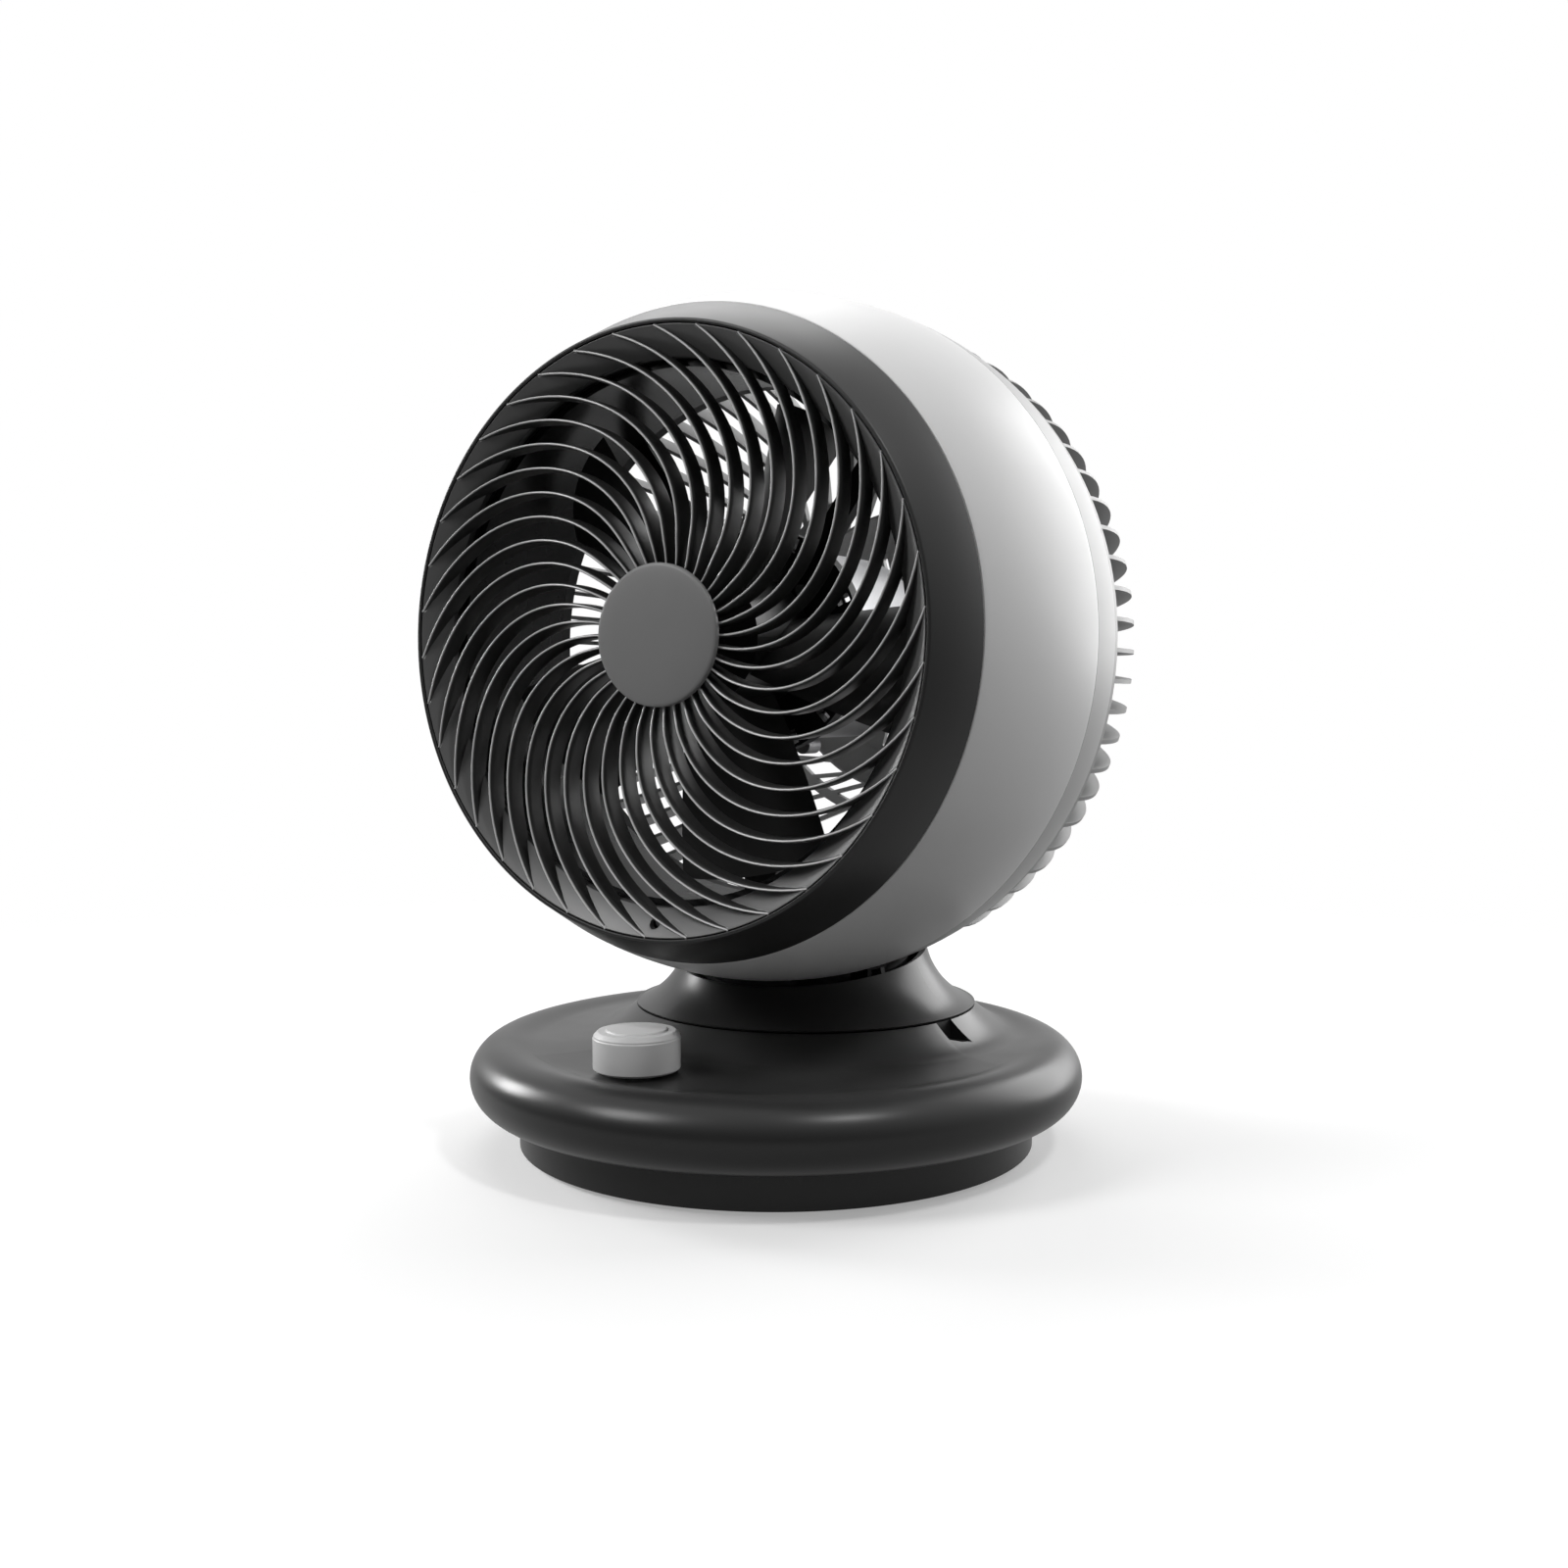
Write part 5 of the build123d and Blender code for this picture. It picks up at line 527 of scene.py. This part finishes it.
coated = add_node(copies, "GeometryNodeSetMaterial", {
    "Geometry": moved.outputs[0], "Material": given.outputs["Material"]})
copies.links.new(coated.outputs[0], result.inputs[0])
identifiers = {item.name: item.identifier for item in copies.interface.items_tree if item.in_out == "INPUT"}
print("node group:", copies.name, "inputs", sorted(identifiers))


# %% Repeating one piece
def kept_mesh(piece, name):
    """The mesh of a piece with its modifiers applied."""
    graph = bpy.context.evaluated_depsgraph_get()
    mesh = bpy.data.meshes.new_from_object(piece.evaluated_get(graph))
    mesh.name = name
    mesh.set_sharp_from_angle(angle=SHARP_ANGLE)
    return mesh


def repeated(name, unit, count, first, step, place, material):
    """Copies of one piece round a place's axis, as a plain mesh; the piece itself goes."""
    modifier = unit.modifiers.new("ring", "NODES")
    modifier.node_group = copies
    values = {"Count": count, "First Angle": radians(first), "Step": radians(step), "Axis": tuple(place.along),
              "Centre": tuple(place.origin * MM), "Material": material}
    for key, value in values.items():
        modifier[identifiers[key]] = value
    mesh = kept_mesh(unit, name)
    bpy.data.objects.remove(unit)
    print(name, count, "copies,", len(mesh.polygons), "faces")
    return add_object(name, mesh)


print("repeats are made with", copies.name)

# %% [markdown]
# ## Front grille vanes
# Thirty-eight deep, thin vanes swirl outwards from behind the hub cap. Each turns about 54 degrees on
# its way and rises towards the rim, where its tip thins to nothing on the bevelled ring. The vane's
# path follows a rule, so it is drawn in steps along that rule, with a rounded front edge whose fine bright
# line is partly its own shading and partly a painted highlight, and Geometry Nodes repeat it.

# %% The vane's path and depths
VANE_COUNT = 38
VANE_SWEEP = 54.0
VANE_POWER = 1.7
VANE_TIP_ANGLE = 176.0
VANE_START_RADIUS = 15.5
CAP_RADIUS = 26.7
BEVEL_RADIUS = 101.5
CREST = (112.1, 96.1)
FRONT_LINE = [(26.89, 88.8), (26.9, 89.0), (36.0, 91.4), CREST]
REAR_LINE = [(36.0, 81.9), (BEVEL_RADIUS, 87.4), (CREST[0], CREST[1] - 0.3)]


def vane_angle(radius):
    """Bearing of the vane's middle line, in radians."""
    share = max(radius - CAP_RADIUS, 0) / (CREST_RADIUS - CAP_RADIUS)
    return radians(VANE_TIP_ANGLE - VANE_SWEEP * (1 - share ** VANE_POWER))


def depth_on(line, radius):
    """Depth on a line of (radius, depth) corners, level before the first of them."""
    radius = max(radius, line[0][0])
    for (start, low), (end, high) in zip(line, line[1:]):
        if radius < end:
            break
    return low + (high - low) * (radius - start) / (end - start)


print("vane depth at its tip:", depth_on(REAR_LINE, CREST[0]), "to", depth_on(FRONT_LINE, CREST[0]), "mm")

# %% One vane, then the ring of them
VANE_STEPS = 40
VANE_HALF = 0.85
PAINTED_HIGHLIGHT_DEPTH = 0.55
AHEAD = 0.2


def vane_middle(radius):
    """The vane's middle line at this radius, in the plane across the head's axis."""
    return Vector((cos(vane_angle(radius)), sin(vane_angle(radius)))) * radius


vane_points = []
for step in range(VANE_STEPS + 1):
    radius = VANE_START_RADIUS + (CREST[0] - VANE_START_RADIUS) * step / VANE_STEPS
    here = vane_middle(radius)
    along = (vane_middle(radius + AHEAD) - here).normalized()
    across = Vector((-along.y, along.x))
    front = depth_on(FRONT_LINE, radius)
    rear = depth_on(REAR_LINE, radius)
    one_side = [(VANE_HALF, rear), (VANE_HALF * 0.92, front - 2.4), (0.52, front - 0.6), (0.26, front - 0.1)]
    section = [(-side, depth) for side, depth in one_side] + [(0.0, front)] + one_side[::-1]
    for side, depth in section:
        spot = here + across * side
        depth = max(depth, rear - 0.4)
        vane_points.append((HEAD.across * spot.x + HEAD.up_across * spot.y + HEAD.along * depth) * MM)
vane = mesh_object("grille_vane", vane_points, tube_faces(VANE_STEPS, len(section)), finishes["vane_satin"])
# Painted highlight mask: one on the vane's front ridge, fading to nought a little way behind it.
painted_ridge_highlight = vane.data.attributes.new("painted_ridge_highlight", "FLOAT", "POINT")
for vertex in vane.data.vertices:
    spot = vertex.co / MM
    radius = hypot(spot.dot(HEAD.across), spot.dot(HEAD.up_across))
    below = depth_on(FRONT_LINE, radius) - spot.dot(HEAD.along)
    painted_ridge_highlight.data[vertex.index].value = min(1.0, max(0.0, 1.0 - below / PAINTED_HIGHLIGHT_DEPTH))
vanes = repeated("grille_vanes", vane, VANE_COUNT, 0.0, 360 / VANE_COUNT, HEAD, finishes["vane_satin"])
dress(vanes, "head", "bezel_satin")

# %% [markdown]
# ## Cutting a hole
# Few details are cut into a finished piece here: a screw's recess and a finger notch. A Boolean
# modifier does that, and its result is kept as a plain mesh.

# %% The cutting step
def cut(piece, cutter):
    """Takes the cutter's shape out of a piece and turns the result into a plain mesh."""
    modifier = piece.modifiers.new("cut", "BOOLEAN")
    modifier.operation = "DIFFERENCE"
    modifier.solver = "EXACT"
    modifier.object = cutter
    mesh = kept_mesh(piece, piece.name)
    piece.modifiers.remove(modifier)
    piece.data = mesh
    bpy.data.objects.remove(cutter)
    print(piece.name, "cut:", len(mesh.polygons), "faces")


def rod(name, place, radius, angle, size, low, high, material):
    """A short round rod that runs along a place's axis, at a radius and an angle from it."""
    sides = 32
    middle = place.point(radius, angle, 0)
    points = []
    for height in (low, high):
        for side in range(sides):
            turn = 2 * pi * side / sides
            outward = place.across * cos(turn) + place.up_across * sin(turn)
            points.append(middle + (outward * size + place.along * height) * MM)
    return mesh_object(name, points, tube_faces(1, sides), material)


print("cutting helpers ready")

# %% [markdown]
# ## Bevelled rim and hub of the grille
# The vanes end on a smooth conical ring inside the crest, whose colour is a painted highlight, a little
# lighter than the vanes for the light that it faces, and start from a small cup behind the cap. Both are turned.

# %% Grille rim and hub
grille_rim = turned("grille_rim", [
    (BEVEL_RADIUS, 86.0, 0.3), (BEVEL_RADIUS, 88.8, 0.5), (112.2, 96.3, 0.3), (112.2, 86.0, 0.2),
    (110.0, 86.0, 0.2), (110.0, 92.1, 0.5), (103.7, 87.6, 0.5), (103.7, 86.0, 0.2),
], HEAD, finishes["bevel_painted_lighter"])
SCREW_RADIUS = 106.8
cut(grille_rim, rod("screw_recess", HEAD, SCREW_RADIUS, -pi / 2, 2.4, 88.4, 99.0, finishes["bevel_painted_lighter"]))
dress(grille_rim, "head", "bezel_satin", "front_grille")
grille_hub = turned("grille_hub", [
    (0, 89.0, 0), (21.0, 89.0, 0.4), (21.0, 81.9, 0.6), (18.0, 81.9, 0.6), (18.0, 86.0, 0.4), (0, 86.0, 0),
], HEAD, finishes["bezel_satin"], turns=96)
dress(grille_hub, "head", "bezel_satin")

# %% [markdown]
# ## Hub cap
# A mid-grey satin disc, slightly domed, hides where the vanes meet. It bears no badge here.

# %% Cap
DOME_BASE = 91.8
DOME_RISE = 1.2
dome = [(CAP_RADIUS * cos(radians(turn)), DOME_BASE + DOME_RISE * sin(radians(turn)), 0)
        for turn in range(12, 90, 6)]
cap = turned("hub_cap", [
    (0, 89.0, 0), (25.9, 89.0, 0.3), (CAP_RADIUS, 89.8, 0.3), (CAP_RADIUS, 91.6, 0.7), *dome, (0, 93.0, 0),
], HEAD, finishes["cap_grey"], turns=128)
dress(cap, "head", "cap_grey", "grille_cap")

# %% [markdown]
# ## Base shell
# The base is a thick rolled ring round a shallow dish, and a collar rises from the dish to the neck.
# The neck stands behind the base's centre, so the two round forms don't share an axis. A lathe can't
# make that, and a boolean would leave a hard line. Instead the top is one grid of rings whose centre
# and radius slide from the neck's circle to the rim's, with the height taken from whichever form is
# higher, eased where they meet, as the real moulding is.

# %% Heights of the base
DISH_Z = 43.0
DISH_EDGE = 100.0
LIP_RISE = 2.0
RIM_Z = 31.0
RIM_TUBE = 14.0
RIM_RING = 113.0
SEAM_RADIUS = 73.0
COLLAR_FOOT = 93.0
SEAM_Z = 54.2
SEAM_WIDTH = 6.0
EASE = 2.2


def dish_height(radius):
    """Height of the base's top at this distance from its own axis."""
    if radius <= DISH_EDGE:
        return DISH_Z
    if radius <= RIM_RING:
        share = (radius - DISH_EDGE) / (RIM_RING - DISH_EDGE)
        return DISH_Z + LIP_RISE * share * share * (3 - 2 * share)
    reach = min(radius - RIM_RING, RIM_TUBE)
    return RIM_Z + sqrt(RIM_TUBE ** 2 - reach ** 2)


def collar_height(radius):
    """Height of the collar at this distance from the neck's axis."""
    share = (COLLAR_FOOT - radius) / (COLLAR_FOOT - SEAM_RADIUS)
    if share <= 0:
        return DISH_Z - 2.5 * abs(share)
    return DISH_Z + (SEAM_Z - DISH_Z) * share ** 1.75


def eased_top(x, y):
    """Height of the base's top at a point, with the two forms blended away from the neck's seam."""
    from_neck = hypot(x, y - NECK_BACK)
    low = dish_height(hypot(x, y))
    high = collar_height(from_neck)
    blend = max(EASE - abs(low - high), 0) / EASE
    return max(low, high) + blend * blend * EASE / 4 * min(1, max(0, from_neck - SEAM_RADIUS) / SEAM_WIDTH)


print("collar meets the neck at", eased_top(0, NECK_BACK - SEAM_RADIUS), "mm")

# %% Base shell mesh
COLUMNS = 288
TOP_ROWS = 44
SHELL_WALL = 3.0


def rim_row(turn, tube):
    """A row of the rolled rim, at an angle from its top and a radius from its middle."""
    return 0.0, RIM_RING + tube * sin(radians(turn)), RIM_Z + tube * cos(radians(turn))


# Each row is a circle: how far back its centre lies, its radius, and its height or None on the eased top.
rows = [(NECK_BACK, radius, height) for radius, height in (
    (53.65, 40.2), (53.65, 43.0), (69.5, 43.0), (69.5, 53.4), (69.9, 53.95), (70.5, 54.2), (72.3, SEAM_Z),
    (72.75, 54.1))]
for step in range(TOP_ROWS + 1):
    share = step / TOP_ROWS
    rows.append((NECK_BACK * (1 - share), SEAM_RADIUS + (RIM_RING - SEAM_RADIUS) * share, None))
rows += [rim_row(turn, RIM_TUBE) for turn in range(6, 181, 6)]
rows += [(0.0, 104.7, 17.0), (0.0, 104.3, 17.4), (0.0, 104.3, 20.0), (0.0, RIM_RING, 20.0)]
rows += [rim_row(turn, RIM_TUBE - SHELL_WALL) for turn in range(165, 0, -15)]
rows += [(0.0, RIM_RING, 42.0), (0.0, DISH_EDGE, 40.0), (NECK_BACK, 74.0, 40.0)]
shell_points = []
for column in range(COLUMNS):
    angle = 2 * pi * column / COLUMNS
    for centre, radius, height in rows:
        x = radius * cos(angle)
        y = centre + radius * sin(angle)
        shell_points.append(Vector((x, y, eased_top(x, y) if height is None else height)) * MM)
base_shell = mesh_object("base_shell", shell_points, ring_faces(COLUMNS, len(rows)), finishes["dark_plastic"])

# %% [markdown]
# ## Notch beside the panel
# At the right end of the control panel a small wedge is cut from the collar, a finger notch under the
# neck's skirt. A wedge-shaped block and a Boolean modifier cut it, which is simpler here than bending
# the grid round it.


# %% Cutting the notch
def bearing_point(bearing, radius, height):
    """A point at a bearing in degrees round the neck, from straight ahead towards +X."""
    return NECK.point(radius, radians(bearing - 90), height)


NOTCH_RADII = (72.6, 92.0)
NOTCH_TOP = 58.0
wedge = []
for bearing, low in ((76.0, 48.4), (80.0, 47.0), (84.0, 46.4)):
    near, far = NOTCH_RADII
    for radius, height in ((near, low), (far, low), (far, NOTCH_TOP), (near, NOTCH_TOP)):
        wedge.append(bearing_point(bearing, radius, height))
cut(base_shell, mesh_object("notch_wedge", wedge, tube_faces(2, 4), finishes["dark_plastic"]))
dress(base_shell, "base", "dark_plastic", "base_top_shell")

# %% [markdown]
# ## Control panel
# The front of the collar and dish is one darker, glossier inlay. It follows the base's own surface and
# stands a little proud of it, so it takes its height from the same rule.

# %% Panel mesh
PANEL_START = -31.0
PANEL_END = 75.7
PANEL_REACH = 104.0
PANEL_INNER = 73.05
PANEL_PROUD = 0.14
PANEL_THICK = 1.2
PANEL_COLUMNS = 90
PANEL_ROWS = 30


def panel_limit(bearing):
    """Distance from the neck's axis at which the panel's outer arc crosses this bearing."""
    lean = radians(bearing)
    return NECK_BACK * cos(lean) + sqrt(PANEL_REACH ** 2 - (NECK_BACK * sin(lean)) ** 2)


panel_points = []
for column in range(PANEL_COLUMNS + 1):
    bearing = PANEL_START + (PANEL_END - PANEL_START) * column / PANEL_COLUMNS
    for row in range(PANEL_ROWS + 1):
        radius = PANEL_INNER + (panel_limit(bearing) - PANEL_INNER) * row / PANEL_ROWS
        spot = bearing_point(bearing, radius, 0) / MM
        edge = column in (0, PANEL_COLUMNS) or row in (0, PANEL_ROWS)
        height = eased_top(spot.x, spot.y) + (0.02 if edge else PANEL_PROUD)
        panel_points.append(Vector((spot.x, spot.y, height)) * MM)
stride = PANEL_ROWS + 1
panel_faces = [(column * stride + row, (column + 1) * stride + row, (column + 1) * stride + row + 1,
                column * stride + row + 1) for column in range(PANEL_COLUMNS) for row in range(PANEL_ROWS)]
low_points = [point - Vector((0, 0, PANEL_THICK)) * MM for point in panel_points]
offset = len(panel_points)
panel_faces += [tuple(reversed([index + offset for index in face])) for face in list(panel_faces)]
border = [column * stride for column in range(PANEL_COLUMNS + 1)]
border += [PANEL_COLUMNS * stride + row for row in range(1, stride)]
border += [column * stride + PANEL_ROWS for column in range(PANEL_COLUMNS - 1, -1, -1)]
border += [row for row in range(PANEL_ROWS - 1, 0, -1)]
for corner, following in zip(border, border[1:] + border[:1]):
    panel_faces.append((following, corner, corner + offset, following + offset))
panel = mesh_object("panel_inlay", panel_points + low_points, panel_faces, finishes["panel_gloss"])
dress(panel, "base", "panel_gloss", "control_panel")

# %% [markdown]
# ## Plinth
# Under the rolled rim the base steps in to a short drum that stands on the feet. It is turned, with a
# small chamfer where it nears the table.

# %% Plinth mesh
plinth = turned("base_drum", [
    (0, 2.0, 0), (106.2, 2.0, 0.4), (107.0, 2.8, 0.5), (107.0, 16.6, 0.4), (104.4, 16.6, 0.3), (104.4, 4.5, 0.5),
    (0, 4.5, 0),
], BASE, finishes["dark_plastic"])
dress(plinth, "base", "dark_plastic")

# %% [markdown]
# ## Neck
# The neck is a trumpet that flares from a straight throat down to the seam with the collar, and its
# top edge follows the ball it carries. Each column of the grid climbs the trumpet's section until it
# meets a sphere a little larger than the head, so the rim's height varies round the neck as the real
# one does.

# %% Neck mesh
CUP_RADIUS = 143.5
NECK_WALL = 2.8
NECK_ROWS = 30
NECK_TURNS = 240
FOOT_CHAMFER = 0.5
trumpet = [(x, y) for x, y, _ in arc_through((73.0, 54.8), (57.6, 66.8), (52.0, 80.8), 40)] + [(52.0, 94.8)]


def trumpet_at(share, inset):
    """A point of the trumpet's section, by its share of the way up."""
    place_on = share * (len(trumpet) - 1)
    index = min(int(place_on), len(trumpet) - 2)
    part = place_on - index
    low, high = trumpet[index], trumpet[index + 1]
    return low[0] + (high[0] - low[0]) * part - inset, low[1] + (high[1] - low[1]) * part


def rim_share(angle, inset):
    """How far up the trumpet the cup's sphere cuts it at this angle."""
    low, high = 0.0, 1.0
    for _ in range(40):
        middle = (low + high) / 2
        radius, height = trumpet_at(middle, inset)
        spot = NECK.point(radius, angle, height) / MM - HEAD.origin
        if spot.length > CUP_RADIUS:
            low = middle
        else:
            high = middle
    return low


neck_points = []
for column in range(NECK_TURNS):
    angle = 2 * pi * column / NECK_TURNS
    outer_top = rim_share(angle, 0.0)
    inner_top = rim_share(angle, NECK_WALL)
    for row in range(NECK_ROWS + 1):
        radius, height = trumpet_at(outer_top * row / NECK_ROWS, 0.0)
        if row == 0:
            neck_points.append(NECK.point(radius - FOOT_CHAMFER, angle, height))
            height += FOOT_CHAMFER
        neck_points.append(NECK.point(radius, angle, height))
    for row in range(NECK_ROWS, -1, -1):
        radius, height = trumpet_at(inner_top * row / NECK_ROWS, NECK_WALL)
        neck_points.append(NECK.point(radius, angle, height))
neck_faces = ring_faces(NECK_TURNS, len(neck_points) // NECK_TURNS)
neck = mesh_object("neck_trumpet", neck_points, neck_faces, finishes["dark_plastic"])
dress(neck, "neck", "dark_plastic")

# %% [markdown]
# ## Knob
# One light grey knob stands on the dish. Its edge is chamfered, and a shallow disc is raised on its
# top. Behind it lie five small ticks, repeated by the same nodes as the vanes. They keep one height,
# while the panel rises there towards the collar, so it covers them. To show, each would have to take
# its height from the panel's rule.

# %% Knob and its ticks
knob = turned("speed_knob_body", [
    (0, 44.6, 0), (15.6, 44.6, 0.4), (16.6, 45.4, 0.5), (16.6, 56.9, 0.4), (16.3, 57.3, 0.2), (16.3, 57.9, 0.5),
    (14.8, 59.5, 0.5), (11.7, 59.5, 0.2), (11.4, 60.2, 0.3), (0, 60.3, 0),
], KNOB, finishes["knob_grey"], turns=128)
dress(knob, "knob", "knob_grey", "speed_knob")
tick_corners = [(20.4, -0.35), (23.2, -0.35), (23.2, 0.35), (20.4, 0.35)]
tick_points = [Vector((x, y, height)) * MM for height in (43.3, 43.19) for x, y in tick_corners]
tick = mesh_object("tick_mark", tick_points, tube_faces(1, 4), finishes["tick_print"])
ticks = repeated("speed_ticks", tick, 5, 45.0, 22.5, KNOB, finishes["tick_print"])
dress(ticks, "base", "panel_gloss")

# %% [markdown]
# ## Studio
# The photograph has a white ground with a soft shadow, a broad light from the right and behind, and a
# weaker one from the left. The floor fades into the world's white by its alpha, away from the object.
# It glows a little for the camera and in reflections, and looks a lighter grey to the camera than to
# the light that bounces off it, so that it reads as white while the lamps stay at a plain level.

# %% Floor
FLOOR_HALF = 3.0
FADE_START, FADE_END = 0.3, 0.9
FLOOR_GLOW = 0.33
PAPER_BOUNCED, PAPER_SEEN = 0.26, 0.66
floor_mesh = bpy.data.meshes.new("floor")
floor_corners = [(-1, -1), (1, -1), (1, 1), (-1, 1)]
floor_mesh.from_pydata([(x * FLOOR_HALF, y * FLOOR_HALF, 0) for x, y in floor_corners], [], [(0, 1, 2, 3)])
floor = add_object("floor", floor_mesh)
paper = bpy.data.materials.new("studio_paper")
paper.use_nodes = True
tree = paper.node_tree
tree.nodes.clear()
spot = add_node(tree, "ShaderNodeTexCoord")
reach = add_node(tree, "ShaderNodeVectorMath", {0: spot.outputs["Object"]}, operation="LENGTH")
fade = add_node(tree, "ShaderNodeMapRange", {
    "Value": reach.outputs["Value"], "From Min": FADE_START, "From Max": FADE_END, "To Min": 0.0, "To Max": 1.0},
    interpolation_type="SMOOTHSTEP")
rays = add_node(tree, "ShaderNodeLightPath")
seen = add_node(tree, "ShaderNodeMath", {
    0: rays.outputs["Is Camera Ray"], 1: rays.outputs["Is Glossy Ray"]}, operation="MAXIMUM")
glow_level = add_node(tree, "ShaderNodeMath", {0: seen.outputs[0], 1: FLOOR_GLOW}, operation="MULTIPLY")
paper_level = add_node(tree, "ShaderNodeMapRange", {
    "Value": rays.outputs["Is Camera Ray"], "To Min": PAPER_BOUNCED, "To Max": PAPER_SEEN})
paper_colour = add_node(tree, "ShaderNodeBsdfDiffuse", {"Color": paper_level.outputs[0]})
glow = add_node(tree, "ShaderNodeEmission", {"Color": grey(1.0), "Strength": glow_level.outputs[0]})
both = add_node(tree, "ShaderNodeAddShader", {0: paper_colour.outputs[0], 1: glow.outputs[0]})
clear = add_node(tree, "ShaderNodeBsdfTransparent")
fading = add_node(tree, "ShaderNodeMixShader", {0: fade.outputs[0], 1: both.outputs[0], 2: clear.outputs[0]})
add_node(tree, "ShaderNodeOutputMaterial", {"Surface": fading.outputs[0]})
floor_mesh.materials.append(paper)
print("floor fades from", FADE_START, "m to", FADE_END, "m")

# %% World
SKY_LOW, SKY_HIGH = 0.05, 1.0
DIFFUSE_SHARE = 0.25
world = bpy.data.worlds.new("studio")
bpy.context.scene.world = world
world.use_nodes = True
tree = world.node_tree
tree.nodes.clear()
rays = add_node(tree, "ShaderNodeLightPath")
shown = add_node(tree, "ShaderNodeMath", {
    0: rays.outputs["Is Camera Ray"], 1: rays.outputs["Is Transmission Ray"]}, operation="MAXIMUM")
looking = add_node(tree, "ShaderNodeTexCoord")
bright_side = VIEW_AWAY * 0.35 + VIEW_RIGHT * 0.25 + UP * 0.75
facing = add_node(tree, "ShaderNodeVectorMath", {
    0: looking.outputs["Generated"], 1: bright_side}, operation="DOT_PRODUCT")
sky = add_node(tree, "ShaderNodeMapRange", {
    "Value": facing.outputs["Value"], "From Min": -0.45, "From Max": 0.75, "To Min": SKY_LOW, "To Max": SKY_HIGH},
    interpolation_type="SMOOTHSTEP")
softened = add_node(tree, "ShaderNodeMath", {0: sky.outputs[0], 1: DIFFUSE_SHARE}, operation="MULTIPLY")
level = add_node(tree, "ShaderNodeMix", {
    "Factor": rays.outputs["Is Glossy Ray"], "A": softened.outputs[0], "B": sky.outputs[0]}, data_type="FLOAT")
ambient = add_node(tree, "ShaderNodeBackground", {"Color": grey(1.0), "Strength": level.outputs[0]})
backdrop = add_node(tree, "ShaderNodeBackground", {"Color": grey(1.0), "Strength": 1.0})
chosen = add_node(tree, "ShaderNodeMixShader", {0: shown.outputs[0], 1: ambient.outputs[0], 2: backdrop.outputs[0]})
add_node(tree, "ShaderNodeOutputWorld", {"Surface": chosen.outputs[0]})
print("world: brightest towards", [round(value, 2) for value in bright_side])


# %% Lamps
LAMP_TARGET = Vector((0, 0, 0.18))


def softbox(name, side, back, height, size, watts):
    """A round area lamp, placed by how far right of, behind and above the object it stands in the photo."""
    lamp = bpy.data.lights.new(name, "AREA")
    lamp.shape = "DISK"
    lamp.size = size
    lamp.energy = watts
    box = add_object(name, lamp)
    box.location = VIEW_RIGHT * side + VIEW_AWAY * back + UP * height
    box.rotation_euler = (LAMP_TARGET - box.location).to_track_quat("-Z", "Y").to_euler()
    print(name, "at", [round(value, 2) for value in box.location])


softbox("key_rear_right", 1.3, 0.85, 0.7, 1.4, 19.8)
softbox("overhead", -0.2, 0.8, 1.5, 1.2, 9.5)
softbox("front_left", -1.15, -0.6, 1.1, 0.6, 11.0)
softbox("rear_left", -1.1, 0.5, 0.5, 0.4, 8.0)
softbox("front_glint", 0.42, -0.6, 1.05, 0.15, 3.6)
